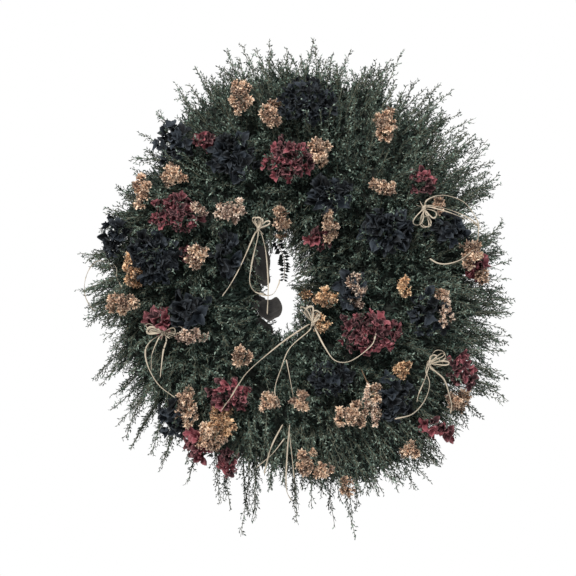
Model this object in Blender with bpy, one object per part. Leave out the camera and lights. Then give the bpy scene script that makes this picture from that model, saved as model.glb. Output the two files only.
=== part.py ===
"""Harvest door wreath: a raised wire wreath frame, evergreen bunches bound to it with paddle wire,
dried hydrangea heads and statice sprays pushed in on their stems, raffia bows with loose tails, and a
wire hanger that swings on the outermost ring.

The wreath hangs on a door. +Z is up, the door is the plane y = 0, and the front faces -Y. The origin is
where the nail that carries the hanger goes into the door. Sizes are in millimetres and MM turns them into
metres. Places on the wreath are (angle, radius, depth): the angle runs anticlockwise from +X as seen from
the front, in degrees, the radius is from the ring's axis, and the depth is forwards from the door.
"""

import math

import bmesh
import bpy
from mathutils import Matrix, Vector

MM = 0.001
FULL_TURN = 2 * math.pi
FIT_GAP = 0.4  # left between pieces that touch
POCKET_GAP = 0.6  # left round a head or a knot in the foliage

# The wire frame: two low rings and two raised ones, on cross wires whose ends lie flat on the door.
FRAME_WIRE = 3.0
WIRE_SIDES = 8
WIRE_CORNER = FRAME_WIRE / 2 / math.cos(math.pi / WIRE_SIDES)
RING_RADII = {"inner": 100.0, "inner_raised": 116.0, "outer_raised": 136.0, "outer": 152.0}
RING_STEPS = 36
LOW_DEPTH = FRAME_WIRE * 1.5 + FIT_GAP
RAISED_DEPTH = 16.0
CROSS_WIRE_ANGLES = (36, 144, 216, 324)
CROSS_WIRE_FOOT = 5.0  # half the length of each end that lies on the door

# The hanger, a loop of wire whose eye turns on the outer ring.
HANGER_WIRE = 2.0
HANGER_EYE = 3.3  # from the ring wire's middle to the eye wire's middle
EYE_TURN = (70, 390)  # degrees round the ring wire, from the front towards the top
NECK_HEIGHTS = (8.3, 12.3)  # of the eye's two ends above the ring wire's middle
LOOP_RADIUS = 12.0
LOOP_TURN = (-35, 215)
HANGER_REACH = 44.0  # from the ring wire's middle to the loop wire's middle at the top
HANG_DROP = RING_RADII["outer"] + HANGER_REACH - HANGER_WIRE / 2  # the nail's height above the ring's axis

# The evergreen bunches, which together make a thick ring with a channel at the back for the frame.
BUNCHES = 10
BUNCH_SPAN = 360 / BUNCHES
BUNCH_LEAN = 7.0  # degrees that each bunch leans over the next
BUNCH_SWELL = (1.0, 1.035, 1.01, 1.045, 1.0)  # the tufts of a bunch, from one flat side to the other
HOLE_HALF_WIDTH = 26.0
HOLE_HALF_HEIGHT = 56.0
HOLE_SHIFT = -6.0  # how far the hole's middle is to the right of the ring's axis
SIDE_REACH = 236.0
TOP_REACH = 280.0
REACH_SHIFT = 8.0  # how much further the right side reaches than the mean of both
FRONT_DEPTH = 112.0
WIDEST_DEPTH = 56.0
BACK_DEPTH = 9.0
ROUNDNESS = 2.3  # the power of the section's superellipse: 2 is an ellipse, more is squarer
SECTION_TURNS = range(-50, 231, 28)  # degrees round the section, from the outer lip to the inner one
CHANNEL_INSIDE = 90.0
CHANNEL_OUTSIDE = 162.0
CHANNEL_DEPTH = 40.0
LIP_DEPTH = 11.0
LIP_SLANT = 2.0

# The stems of each bunch, laid along the raised rings and bent forwards into the foliage.
STEMS_RADIUS = 126.0
STEMS_DEPTH = 25.2
STEMS_HALF_WIDTH = 11.0
STEMS_HALF_HEIGHT = 6.6
STEMS_SPAN = (-14.0, 13.0)  # degrees from the bunch's middle
NECK_SPAN = (6.0, 12.0)
NECK_SHARE = 0.7  # of the stems' width
NECK_BITE = 6.0  # how far the neck runs into the foliage
STEPS_ALONG_STEMS = 3

# The paddle wire, wound round the raised rings and the stems of each bunch.
PADDLE_WIRE = 1.0
PADDLE_TURNS = 2
PADDLE_PITCH = 1.6  # degrees from one turn to the next
PADDLE_START = -9.0  # degrees from the bunch's middle
PADDLE_BULGE = 2.0  # how far the wire stands off at the raised rings' sides
PADDLE_SHOULDER = 4.0  # how far behind the front of the turn its shoulders are
PADDLE_TUCK = 0.6  # how far its corners at the back are in from its sides

# A dried head: its dome as (share of half the width, share of the dome's height), its underside, its stem.
DOME_PROFILE = ((0.0, 1.0), (0.55, 0.86), (0.9, 0.45))
UNDERSIDE_DEPTH = 0.25  # of the head's smaller size
UNDERSIDE_TURN = (0.72, 0.6)  # the share of half the width and of the underside's depth where it turns in
STEM_RADIUS = 1.6
STEM_FLARE = 1.6
STEM_TAPER = 6.0
STEM_LENGTH = 16.0
RIM_SUNK = 2.0  # how far a head's rim is behind the foliage's front
HEAD_SIDES = 10
KNOT_SIDES = 8

# Each head: angle, radius, width, height, and the height of its dome.
BURGUNDY_HEADS = {
    "burgundy_hydrangea_top": (90, 142, 58, 54, 15),
    "burgundy_hydrangea_left": (147, 152, 70, 54, 15),
    "burgundy_hydrangea_right": (-30, 107, 82, 64, 16),
    "burgundy_hydrangea_upper_right": (38, 194, 30, 36, 13),
    "burgundy_hydrangea_lower_right": (-26, 222, 34, 60, 12),
    "burgundy_hydrangea_bottom": (242, 140, 52, 42, 14),
}
NAVY_HEADS = {
    "navy_hydrangea_top": (84, 212, 70, 60, 12),
    "navy_hydrangea_upper_left": (113, 160, 62, 60, 12),
    "navy_hydrangea_upper_right": (66, 114, 60, 46, 12),
    "navy_hydrangea_right": (29, 127, 70, 58, 12),
    "navy_hydrangea_lower_right": (-11, 164, 52, 58, 12),
    "navy_hydrangea_bottom": (-65, 116, 52, 42, 12),
    "navy_hydrangea_left": (169, 160, 60, 60, 12),
}
STATICE_SPRAYS = {
    "statice_spray_top_left": (104, 222, 28, 42, 12),
    "statice_spray_top_right": (59, 214, 26, 42, 12),
    "statice_spray_left_edge": (186, 192, 46, 24, 11),
    "statice_spray_lower_left": (236, 95, 26, 24, 13),
    "statice_spray_bottom_left": (243, 192, 32, 38, 12),
    "statice_spray_bottom": (276, 131, 24, 24, 13),
    "statice_spray_bottom_right": (-63, 163, 40, 30, 12),
    "statice_spray_right_edge": (10, 212, 26, 36, 11),
}

# The raffia.
RAFFIA = 2.4  # the width of one strand
STRAND_STEP = 2.8 * RAFFIA
KNOT_DOME = 6.5
LOOP_STEPS = 10
LOOP_START = 0.25  # of the knot's width, from the knot's middle to a loop's ends
LOOP_ENDS_APART = 1.4 * RAFFIA
LOOP_SPREAD = 0.36  # of a loop's length
LOOP_LIFT = 1.0  # of the first loop above the knot's rim; the next one lies over it

# Each bow: the knot's x, z and depth, its width, then its loops as (direction in degrees, length).
BOWS = {
    "raffia_bow_top": (-33.9, 65.5, 105, 10, ((58, 20), (122, 20))),
    "raffia_bow_right": (154.0, 88.0, 114, 10, ((268, 20), (306, 18))),
    "raffia_bow_left": (-141.0, -52.5, 115, 14, ((178, 20), (4, 20))),
    "raffia_bow_centre": (28.8, -43.2, 99, 12, ((126, 26), (84, 18))),
    "raffia_bow_lower_right": (160.5, -88.1, 112, 10, ((19, 19), (80, 18))),
}

# Each tail: the points that it runs through, as (x, z, depth) from the ring's axis and the door.
TAILS = {
    "raffia_tail_top_left": ((-39, 58, 106), (-54, 24, 107), (-65, 3, 110), (-75, -12, 113)),
    "raffia_tail_top_middle": (
        (-34.5, 56.5, 106), (-42, 24, 105), (-44, 4, 104), (-38, -7, 100), (-27, -9, 94),
    ),
    "raffia_tail_top_right": ((-29.5, 57, 106), (-25, 35, 101), (-23, 1, 96), (-24, -33, 99)),
    "raffia_tail_right": (
        (157, 96.5, 117), (168, 102, 114), (183, 103, 110), (204, 95, 105), (219, 76, 99), (221, 67, 98),
        (219, 53, 102), (213, 44, 112), (206, 37, 116), (195, 29, 115), (181, 25, 114), (170, 26, 115),
        (161, 31, 116),
    ),
    "raffia_tail_left_long": (
        (-156, -63, 116), (-162, -74, 116), (-159, -91, 117), (-147, -112, 117), (-128, -127, 117),
    ),
    "raffia_tail_left_short": ((-138, -62, 116), (-142, -76, 116), (-145, -104, 117)),
    "raffia_tail_centre_long": (
        (20, -47, 101), (-9, -67, 101), (-43, -95, 114), (-55, -110, 125), (-63, -123, 128), (-75, -140, 128),
    ),
    "raffia_tail_centre_short": (
        (24, -52, 101), (2, -72, 100), (-8, -95, 109), (-15, -118, 115), (-11, -138, 117),
    ),
    "raffia_tail_centre_arc": (
        (33, -52.5, 102), (42, -70, 113), (53, -84, 125), (70, -84, 129), (92, -67, 134), (98, -53, 135),
    ),
    "raffia_tail_lower_right_long": (
        (157, -97, 114), (161, -112, 115), (155, -131, 115), (141, -146, 115), (121, -151, 117),
    ),
    "raffia_tail_lower_right_short": (
        (167, -96.5, 113), (178, -107, 112), (185, -124, 106), (189, -138, 101), (188, -148, 99),
    ),
    "raffia_tail_bottom_left": ((-6, -157, 118), (-18, -180, 118), (-24, -200, 117), (-27, -214, 115)),
    "raffia_tail_bottom_right": ((2, -157, 118), (-1, -191, 118), (-2, -230, 113), (4, -247, 107)),
}

# Each material: colour, roughness, metallic.
MATERIALS = {
    "green_wire": ((0.012, 0.030, 0.016), 0.45, 0.3),
    "dark_wire": ((0.030, 0.030, 0.030), 0.40, 0.9),
    "evergreen": ((0.020, 0.036, 0.026), 0.75, 0.0),
    "burgundy_petal": ((0.150, 0.035, 0.045), 0.80, 0.0),
    "navy_petal": ((0.018, 0.020, 0.040), 0.80, 0.0),
    "peach_statice": ((0.560, 0.270, 0.130), 0.85, 0.0),
    "raffia": ((0.520, 0.370, 0.200), 0.60, 0.0),
}


# Objects, materials and places


def clear_scene():
    for obj in list(bpy.data.objects):
        bpy.data.objects.remove(obj)


def make_material(name):
    colour, roughness, metallic = MATERIALS[name]
    material = bpy.data.materials.new(name)
    material.use_nodes = True
    shader = material.node_tree.nodes["Principled BSDF"]
    shader.inputs["Base Color"].default_value = (*colour, 1.0)
    shader.inputs["Roughness"].default_value = roughness
    shader.inputs["Metallic"].default_value = metallic
    return material


def add_empty(name, location, parent=None):
    empty = bpy.data.objects.new(name, None)
    bpy.context.scene.collection.objects.link(empty)
    empty.parent = parent
    empty.location = location
    return empty


def add_piece(name, data, material, parent):
    piece = bpy.data.objects.new(name, data)
    bpy.context.scene.collection.objects.link(piece)
    piece.parent = parent
    data.materials.append(material)
    return piece


def add_helper(name, mesh, parent):
    """An object that only a Boolean uses."""
    helper = bpy.data.objects.new(name, mesh)
    bpy.context.scene.collection.objects.link(helper)
    helper.parent = parent
    helper.hide_render = True
    helper.display_type = "WIRE"
    return helper


def boolean(piece, operation, helper):
    modifier = piece.modifiers.new(f"{operation.lower()} {helper.name}", "BOOLEAN")
    modifier.operation = operation
    modifier.object = helper


def radial(angle):
    """The unit vector away from the ring's axis at this angle."""
    turn = math.radians(angle)
    return Vector((math.cos(turn), 0, math.sin(turn)))


def place(angle, radius, depth):
    """A place on the wreath, in metres from the ring's axis at the door."""
    return (radial(angle) * radius + Vector((0, -depth, 0))) * MM


# Meshes and curves


def finish_mesh(name, bm):
    """The bmesh as a mesh, with its faces pointing out and its round sides smooth."""
    bmesh.ops.recalc_face_normals(bm, faces=bm.faces)
    mesh = bpy.data.meshes.new(name)
    bm.to_mesh(mesh)
    bm.free()
    mesh.shade_smooth()
    mesh.set_sharp_from_angle(angle=math.radians(40))
    return mesh


def turned(bm, verts, edges, axis, steps):
    """Turns an outline all the way round this axis through the origin."""
    bmesh.ops.spin(
        bm, geom=verts + edges, axis=axis, cent=(0, 0, 0), angle=FULL_TURN, steps=steps, use_merge=True
    )


def skinned_mesh(name, sections):
    """A closed mesh through these sections, each a ring of points, with both ends closed."""
    bm = bmesh.new()
    rings = [[bm.verts.new(point) for point in section] for section in sections]
    for one, two in zip(rings, rings[1:]):
        for a, b, c, d in zip(one, one[1:] + one[:1], two[1:] + two[:1], two):
            bm.faces.new((a, b, c, d))
    bm.faces.new(rings[0])
    bm.faces.new(rings[-1])
    return finish_mesh(name, bm)


def wire_curve(name, points, width, resolution):
    """A round wire through these points, with closed ends."""
    curve = bpy.data.curves.new(name, "CURVE")
    curve.dimensions = "3D"
    curve.bevel_depth = width / 2 * MM
    curve.bevel_resolution = resolution
    curve.use_fill_caps = True
    spline = curve.splines.new("POLY")
    spline.points.add(len(points) - 1)
    for spot, point in zip(spline.points, points):
        spot.co = (*point, 1.0)
    return curve


def curve_as_mesh(name, curve):
    """The curve's surface as a closed mesh, which a Boolean needs."""
    holder = bpy.data.objects.new(f"{name}_holder", curve)
    mesh = bpy.data.meshes.new_from_object(holder)
    bpy.data.objects.remove(holder)
    bm = bmesh.new()
    bm.from_mesh(mesh)
    bmesh.ops.remove_doubles(bm, verts=bm.verts, dist=0.001 * MM)
    return finish_mesh(name, bm)


def smooth_route(knots, step):
    """Points about this far apart on a Catmull-Rom curve through the knots."""
    ends = [2 * knots[0] - knots[1], *knots, 2 * knots[-1] - knots[-2]]
    route = [knots[0]]
    for a, b, c, d in zip(ends, ends[1:], ends[2:], ends[3:]):
        square, cube = 2 * a - 5 * b + 4 * c - d, 3 * b - a - 3 * c + d
        pieces = max(1, round((c - b).length / step))
        for i in range(1, pieces + 1):
            t = i / pieces
            route.append(b + ((c - a) * t + square * t**2 + cube * t**3) / 2)
    return route


# The wire frame


def wire_section():
    """The corners of the frame wire's section, with a flat on each of its four sides."""
    turns = [FULL_TURN * (i + 0.5) / WIRE_SIDES for i in range(WIRE_SIDES)]
    return [(WIRE_CORNER * math.cos(turn), WIRE_CORNER * math.sin(turn)) for turn in turns]


def ring_mesh(name, radius, depth):
    bm = bmesh.new()
    verts = [bm.verts.new(place(0, radius + across, depth + out)) for across, out in wire_section()]
    edges = [bm.edges.new(pair) for pair in zip(verts, verts[1:] + verts[:1])]
    turned(bm, verts, edges, (0, 1, 0), RING_STEPS)
    return finish_mesh(name, bm)


def cross_wire_mesh(name, angle):
    """A bent wire behind all four rings. Its ends lie on the door and carry the low rings."""
    low = FRAME_WIRE / 2
    high = RAISED_DEPTH - FRAME_WIRE - FIT_GAP
    inner, inner_raised, outer_raised, outer = RING_RADII.values()
    bends = (
        (inner - CROSS_WIRE_FOOT, low), (inner + CROSS_WIRE_FOOT, low),
        (inner_raised - FRAME_WIRE, high), (outer_raised + FRAME_WIRE, high),
        (outer - CROSS_WIRE_FOOT, low), (outer + CROSS_WIRE_FOOT, low),
    )
    spots = [place(angle, radius, depth) for radius, depth in bends]
    ahead = [(b - a).normalized() for a, b in zip(spots, spots[1:])]
    across = radial(angle + 90)
    sections = []
    for spot, before, after in zip(spots, ahead[:1] + ahead, ahead + ahead[-1:]):
        along = (before + after).normalized()
        out = across.cross(along) / along.dot(after)
        sections.append([spot + (across * x + out * y) * MM for x, y in wire_section()])
    return skinned_mesh(name, sections)


def build_frame(wreath, material):
    for kind, radius in RING_RADII.items():
        name = f"frame_ring_{kind}"
        depth = RAISED_DEPTH if "raised" in kind else LOW_DEPTH
        add_piece(name, ring_mesh(name, radius, depth), material, wreath)
    for number, angle in enumerate(CROSS_WIRE_ANGLES, 1):
        name = f"frame_cross_wire_{number}"
        add_piece(name, cross_wire_mesh(name, angle), material, wreath)


# The hanger


def arc(turns, steps):
    """The cosines and sines of evenly spaced turns, from the first to the last."""
    first, last = turns
    angles = [math.radians(first + (last - first) * i / steps) for i in range(steps + 1)]
    return [(math.cos(angle), math.sin(angle)) for angle in angles]


def hanger_points():
    """Once round the ring wire as the eye, up the neck, round the loop, and down to the neck again."""
    half_pitch = (HANGER_WIRE + FIT_GAP) / 2
    eye = arc(EYE_TURN, 12)
    points = []
    for i, (c, s) in enumerate(eye):
        points.append(Vector((half_pitch * (2 * i / (len(eye) - 1) - 1), -HANGER_EYE * c, HANGER_EYE * s)))
    points.append(Vector((half_pitch, -HANGER_EYE / 2, NECK_HEIGHTS[0])))
    for c, s in arc(LOOP_TURN, 10):
        points.append(Vector((LOOP_RADIUS * c, 0, HANGER_REACH - LOOP_RADIUS + LOOP_RADIUS * s)))
    points.append(Vector((-half_pitch, 0, NECK_HEIGHTS[1])))
    return [point * MM for point in points]


def build_hanger(wreath, material):
    pivot = add_empty("hanger_pivot", place(90, RING_RADII["outer"], LOW_DEPTH), wreath)
    add_piece("wire_hanger", wire_curve("wire_hanger", hanger_points(), HANGER_WIRE, 2), material, pivot)


# The evergreen bunches


def reach(angle):
    """How far the foliage reaches from the axis at this angle."""
    turn = math.radians(angle)
    return SIDE_REACH + (TOP_REACH - SIDE_REACH) * math.sin(turn) ** 2 + REACH_SHIFT * math.cos(turn)


def hole_edge(angle):
    """How far the hole's edge, an upright ellipse, is from the axis at this angle."""
    c, s = math.cos(math.radians(angle)), math.sin(math.radians(angle))
    square = (c / HOLE_HALF_WIDTH) ** 2 + (s / HOLE_HALF_HEIGHT) ** 2
    linear = -2 * HOLE_SHIFT * c / HOLE_HALF_WIDTH**2
    constant = (HOLE_SHIFT / HOLE_HALF_WIDTH) ** 2 - 1
    return (-linear + math.sqrt(linear**2 - 4 * square * constant)) / (2 * square)


def front_depth(angle, radius):
    """The depth of the foliage's front at this place."""
    middle = (hole_edge(angle) + reach(angle)) / 2
    share = min(1.0, abs(radius - middle) / (middle - hole_edge(angle)))
    return WIDEST_DEPTH + (FRONT_DEPTH - WIDEST_DEPTH) * (1 - share**ROUNDNESS) ** (1 / ROUNDNESS)


def front_normal(angle, radius):
    """The direction straight out of the foliage's front at this place."""
    step = 4.0
    slope = (front_depth(angle, radius + step) - front_depth(angle, radius - step)) / (2 * step)
    return (Vector((0, -1, 0)) - radial(angle) * slope).normalized()


def superellipse(turn):
    """A place on the section's rounded outline, from -1 to 1 each way."""
    c, s = math.cos(math.radians(turn)), math.sin(math.radians(turn))
    power = 2 / ROUNDNESS
    return math.copysign(abs(c) ** power, c), math.copysign(abs(s) ** power, s)


def foliage_section(angle, swell):
    """The section of the foliage at this angle, as (radius, depth): the rounded front, then the channel."""
    inside = hole_edge(angle)
    outside = inside + (reach(angle) - inside) * swell
    section = []
    for wide, deep in map(superellipse, SECTION_TURNS):
        half_depth = (FRONT_DEPTH - WIDEST_DEPTH) * swell if deep > 0 else WIDEST_DEPTH - BACK_DEPTH
        section.append(((inside + outside + (outside - inside) * wide) / 2, WIDEST_DEPTH + half_depth * deep))
    section += [(CHANNEL_INSIDE - LIP_SLANT, LIP_DEPTH), (CHANNEL_INSIDE, CHANNEL_DEPTH)]
    section += [(CHANNEL_OUTSIDE, CHANNEL_DEPTH), (CHANNEL_OUTSIDE + LIP_SLANT, LIP_DEPTH)]
    return section


def leaning_angle(border, side, radius):
    """The angle of a bunch's flat side at this radius. side, 1 or -1, is the way from there to the bunch."""
    along, across = radial(border + BUNCH_LEAN), radial(border + BUNCH_LEAN + 90)
    start = radial(border) * STEMS_RADIUS + across * (side * FIT_GAP / 2)
    shift = start.dot(along)
    spot = start + along * (math.sqrt(shift**2 - start.length_squared + radius**2) - shift)
    return math.degrees(math.atan2(spot.z, spot.x))


def foliage_corner(number, middle, share, swell):
    """A corner of a bunch, this share of the way from one flat side to the other.

    Its radius depends on its angle and its angle on its radius, so a few rounds find both.
    """
    angle = middle + BUNCH_SPAN * (share - 0.5)
    for _ in range(6):
        radius, depth = foliage_section(angle, swell)[number]
        first = leaning_angle(middle - BUNCH_SPAN / 2, 1, radius)
        last = leaning_angle(middle + BUNCH_SPAN / 2, -1, radius)
        angle = first + ((last - first) % 360) * share
    return place(angle, radius, depth)


def foliage_mesh(name, middle):
    corners = range(len(foliage_section(middle, 1)))
    sections = []
    for i, swell in enumerate(BUNCH_SWELL):
        share = i / (len(BUNCH_SWELL) - 1)
        sections.append([foliage_corner(number, middle, share, swell) for number in corners])
    return skinned_mesh(name, sections)


def stems_section():
    corners = arc((22.5, 337.5), 7)
    return [(STEMS_RADIUS + STEMS_HALF_WIDTH * c, STEMS_DEPTH + STEMS_HALF_HEIGHT * s) for c, s in corners]


def neck_section():
    """The stems where they turn forwards into the foliage."""
    half = STEMS_HALF_WIDTH * NECK_SHARE
    inside, outside, top = STEMS_RADIUS - half, STEMS_RADIUS + half, CHANNEL_DEPTH + NECK_BITE
    return [(inside, STEMS_DEPTH), (outside, STEMS_DEPTH), (outside, top), (inside, top)]


def bar_mesh(name, middle, span, section):
    """A bar of this section along the ring, over this span of degrees from the middle."""
    first, last = span
    angles = [middle + first + (last - first) * i / STEPS_ALONG_STEMS for i in range(STEPS_ALONG_STEMS + 1)]
    return skinned_mesh(name, [[place(angle, *corner) for corner in section] for angle in angles])


def build_bunches(wreath, material, pockets):
    """Each bunch joins its foliage, neck and stems, and has room cut in it by the pockets near it."""
    bars = {"stems": (STEMS_SPAN, stems_section()), "neck": (NECK_SPAN, neck_section())}
    for number in range(BUNCHES):
        name = f"evergreen_bunch_{number + 1:02d}"
        middle = BUNCH_SPAN * (number + 0.5)
        bunch = add_piece(name, foliage_mesh(name, middle), material, wreath)
        for part, (span, section) in bars.items():
            bar = f"{name}_{part}"
            boolean(bunch, "UNION", add_helper(bar, bar_mesh(bar, middle, span, section), wreath))
        for angle, pocket in pockets:
            if abs((angle - middle + 180) % 360 - 180) < BUNCH_SPAN:
                boolean(bunch, "DIFFERENCE", pocket)


def paddle_wire_turn():
    """One turn of the wire as (radius, depth), from the raised rings' outer side round the front."""
    off = WIRE_CORNER + FIT_GAP + PADDLE_WIRE / 2
    inside, outside = RING_RADII["inner_raised"] - off, RING_RADII["outer_raised"] + off
    front = STEMS_DEPTH + STEMS_HALF_HEIGHT + FIT_GAP + PADDLE_WIRE / 2
    back = RAISED_DEPTH - off
    half = STEMS_HALF_WIDTH * NECK_SHARE
    return (
        (outside + PADDLE_BULGE, STEMS_DEPTH), (outside, front - PADDLE_SHOULDER),
        (STEMS_RADIUS + half, front), (STEMS_RADIUS - half, front),
        (inside, front - PADDLE_SHOULDER), (inside - PADDLE_BULGE, RAISED_DEPTH),
        (inside + PADDLE_TUCK, back), (outside - PADDLE_TUCK, back),
    )


def paddle_wire_points():
    """Two turns round each bunch's stems, then a run along the raised rings' outer side to the next."""
    turn = paddle_wire_turn()
    run_radius, run_depth = turn[0]
    points = []
    for number in range(BUNCHES):
        start = BUNCH_SPAN * (number + 0.5) + PADDLE_START
        for i in range(PADDLE_TURNS * len(turn) + 1):
            points.append(place(start + PADDLE_PITCH * i / len(turn), *turn[i % len(turn)]))
        for share in (0.3, 0.55, 0.8):
            points.append(place(start + BUNCH_SPAN * share, run_radius + PADDLE_BULGE, run_depth))
    return points


def build_paddle_wire(wreath, material):
    curve = wire_curve("paddle_wire", paddle_wire_points(), PADDLE_WIRE, 0)
    add_piece("paddle_wire", curve, material, wreath)


# The dried flowers


def head_outline(half, dome, underside, grow):
    """Half the outline of a head as (radius, height above its rim), from its top to the stem's end."""
    stem = STEM_RADIUS + grow
    outline = [(half * wide, dome * tall + grow) for wide, tall in DOME_PROFILE]
    outline += [(half, 0), (half * UNDERSIDE_TURN[0], -underside * UNDERSIDE_TURN[1] - grow)]
    outline += [(stem * STEM_FLARE, -underside - grow), (stem, -underside - STEM_TAPER)]
    outline += [(stem, -underside - STEM_LENGTH - grow), (0, -underside - STEM_LENGTH - grow)]
    return outline


def head_mesh(name, width, height, dome, sides, grow=0.0):
    """A dome on a stem, facing +Z with its height along Y, and grown all round for a pocket."""
    bm = bmesh.new()
    outline = head_outline(width / 2 + grow, dome, UNDERSIDE_DEPTH * min(width, height), grow)
    verts = [bm.verts.new(Vector((radius, 0, up)) * MM) for radius, up in outline]
    edges = [bm.edges.new(pair) for pair in zip(verts, verts[1:])]
    turned(bm, verts, edges, (0, 0, 1), sides)
    bmesh.ops.remove_doubles(bm, verts=bm.verts, dist=0.01 * MM)
    bmesh.ops.scale(bm, vec=(1, (height + 2 * grow) / (width + 2 * grow), 1), verts=bm.verts)
    return finish_mesh(name, bm)


def build_head(name, material, wreath, matrix, sizes):
    """Makes a head, and returns the helper that clears room for it in the foliage."""
    head = add_piece(name, head_mesh(name, *sizes), material, wreath)
    pocket_name = f"{name}_pocket"
    pocket = add_helper(pocket_name, head_mesh(pocket_name, *sizes, grow=POCKET_GAP), wreath)
    for obj in (head, pocket):
        obj.matrix_local = matrix
    return pocket


def head_matrix(angle, radius):
    """On the foliage's front, facing straight out of it, with the height upright."""
    out = front_normal(angle, radius)
    across = Vector((0, 0, 1)).cross(out).normalized()
    turn = Matrix((across, out.cross(across), out)).transposed().to_4x4()
    return Matrix.Translation(place(angle, radius, front_depth(angle, radius) - RIM_SUNK)) @ turn


def build_heads(heads, wreath, material):
    """Makes these heads, and returns their pockets as (angle, helper) pairs."""
    pockets = []
    for name, (angle, radius, *sizes) in heads.items():
        pocket = build_head(name, material, wreath, head_matrix(angle, radius), (*sizes, HEAD_SIDES))
        pockets.append((angle, pocket))
    return pockets


# The raffia


def bow_loop_points(direction, length, lift, knot_width):
    """A drop-shaped loop whose two ends are side by side in the knot, this far above its rim."""
    along, across = radial(direction), radial(direction + 90)
    points = []
    for i in range(LOOP_STEPS + 1):
        turn = math.pi * i / LOOP_STEPS
        out = knot_width * LOOP_START + length * math.sin(turn)
        side = LOOP_SPREAD * length * math.sin(2 * turn) + LOOP_ENDS_APART / 2 * math.cos(turn)
        points.append((along * out + across * side - Vector((0, lift, 0))) * MM)
    return points


def build_bows(wreath, material):
    """Makes every bow, and returns the pockets of their knots as (angle, helper) pairs."""
    facing = Matrix.Rotation(math.radians(90), 4, "X")
    pockets = []
    for name, (x, z, depth, width, loops) in BOWS.items():
        spot = Vector((x, -depth, z)) * MM
        sizes = (width, width, KNOT_DOME, KNOT_SIDES)
        pocket = build_head(name, material, wreath, Matrix.Translation(spot) @ facing, sizes)
        pockets.append((math.degrees(math.atan2(z, x)), pocket))
        for number, (direction, length) in enumerate(loops):
            loop_name = f"{name}_loop_{number + 1}"
            lift = LOOP_LIFT + number * (RAFFIA + FIT_GAP)
            curve = wire_curve(loop_name, bow_loop_points(direction, length, lift, width), RAFFIA, 1)
            loop = add_helper(loop_name, curve_as_mesh(loop_name, curve), wreath)
            loop.location = spot
            boolean(bpy.data.objects[name], "UNION", loop)
    return pockets


def build_tails(wreath, material):
    for name, spots in TAILS.items():
        knots = [Vector((x, -depth, z)) * MM for x, z, depth in spots]
        curve = wire_curve(name, smooth_route(knots, STRAND_STEP * MM), RAFFIA, 2)
        add_piece(name, curve, material, wreath)


def main():
    clear_scene()
    wreath = add_empty("wreath_axis", (0, 0, -HANG_DROP * MM))
    materials = {name: make_material(name) for name in MATERIALS}
    build_frame(wreath, materials["green_wire"])
    build_hanger(wreath, materials["dark_wire"])
    pockets = build_heads(BURGUNDY_HEADS, wreath, materials["burgundy_petal"])
    pockets += build_heads(NAVY_HEADS, wreath, materials["navy_petal"])
    pockets += build_heads(STATICE_SPRAYS, wreath, materials["peach_statice"])
    pockets += build_bows(wreath, materials["raffia"])
    build_bunches(wreath, materials["evergreen"], pockets)
    build_paddle_wire(wreath, materials["dark_wire"])
    build_tails(wreath, materials["raffia"])


main()
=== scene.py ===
"""Looks for a harvest door wreath: evergreen plumes, dried blooms, raffia bows and a wire frame."""

import math

import bpy
import numpy as np
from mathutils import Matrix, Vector
from mathutils.bvhtree import BVHTree


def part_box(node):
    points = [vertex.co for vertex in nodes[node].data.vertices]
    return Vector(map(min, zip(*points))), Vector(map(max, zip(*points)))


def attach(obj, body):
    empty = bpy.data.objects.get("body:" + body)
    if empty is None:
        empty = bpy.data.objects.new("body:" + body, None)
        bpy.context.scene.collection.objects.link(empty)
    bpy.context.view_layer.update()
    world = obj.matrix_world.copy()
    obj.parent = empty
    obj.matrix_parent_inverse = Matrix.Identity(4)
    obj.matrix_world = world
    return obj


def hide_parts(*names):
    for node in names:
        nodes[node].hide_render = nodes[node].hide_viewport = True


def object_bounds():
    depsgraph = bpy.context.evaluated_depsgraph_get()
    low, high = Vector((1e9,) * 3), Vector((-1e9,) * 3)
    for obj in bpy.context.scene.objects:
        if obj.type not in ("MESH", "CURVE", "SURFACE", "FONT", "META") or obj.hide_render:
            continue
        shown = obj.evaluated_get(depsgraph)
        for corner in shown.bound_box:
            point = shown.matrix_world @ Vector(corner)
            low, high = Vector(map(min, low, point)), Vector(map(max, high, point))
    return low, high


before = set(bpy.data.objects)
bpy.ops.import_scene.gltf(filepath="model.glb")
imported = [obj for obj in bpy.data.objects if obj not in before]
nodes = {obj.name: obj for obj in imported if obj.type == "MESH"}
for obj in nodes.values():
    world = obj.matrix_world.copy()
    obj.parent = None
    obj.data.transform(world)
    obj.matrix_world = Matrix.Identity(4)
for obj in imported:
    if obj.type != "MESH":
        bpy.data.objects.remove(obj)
cad_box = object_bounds()

MM = 0.001
GOLDEN = math.radians(137.508)
# A disc's share of the square round it.
DISC = 0.785
# Blooms turn outwards with their distance from the axis over this, in mm.
SPREAD_RADIUS = 236
UP = np.array([0.0, 0.0, 1.0])
FRONT = np.array([0.0, -1.0, 0.0])
ring_low, ring_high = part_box("frame_ring_outer")
AXIS_Z = (ring_low.z + ring_high.z) / 2
middle_depth = (cad_box[0].y + cad_box[1].y) / 2

# The camera's distance from the middle, the width it sees there and how far it is below the axis, in m.
VIEW_DISTANCE = 0.900
VIEW_WIDTH = 0.691
VIEW_DROP = 0.0024


def linked(name, data):
    """A new object in the scene."""
    thing = bpy.data.objects.new(name, data)
    bpy.context.scene.collection.objects.link(thing)
    return thing


def add_camera():
    data = bpy.data.cameras.new("camera")
    camera = linked("camera", data)
    camera.location = (0, middle_depth - VIEW_DISTANCE, AXIS_Z - VIEW_DROP)
    camera.rotation_euler = (math.radians(90), 0, 0)
    data.lens = data.sensor_width * VIEW_DISTANCE / VIEW_WIDTH
    bpy.context.scene.camera = camera


add_camera()


# ---- places and small maths


def place(x, z, depth):
    """A point x to the right of the wreath's axis, z above it and depth in front of the door, in mm."""
    return np.array([x * MM, -depth * MM, AXIS_Z + z * MM])


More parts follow.
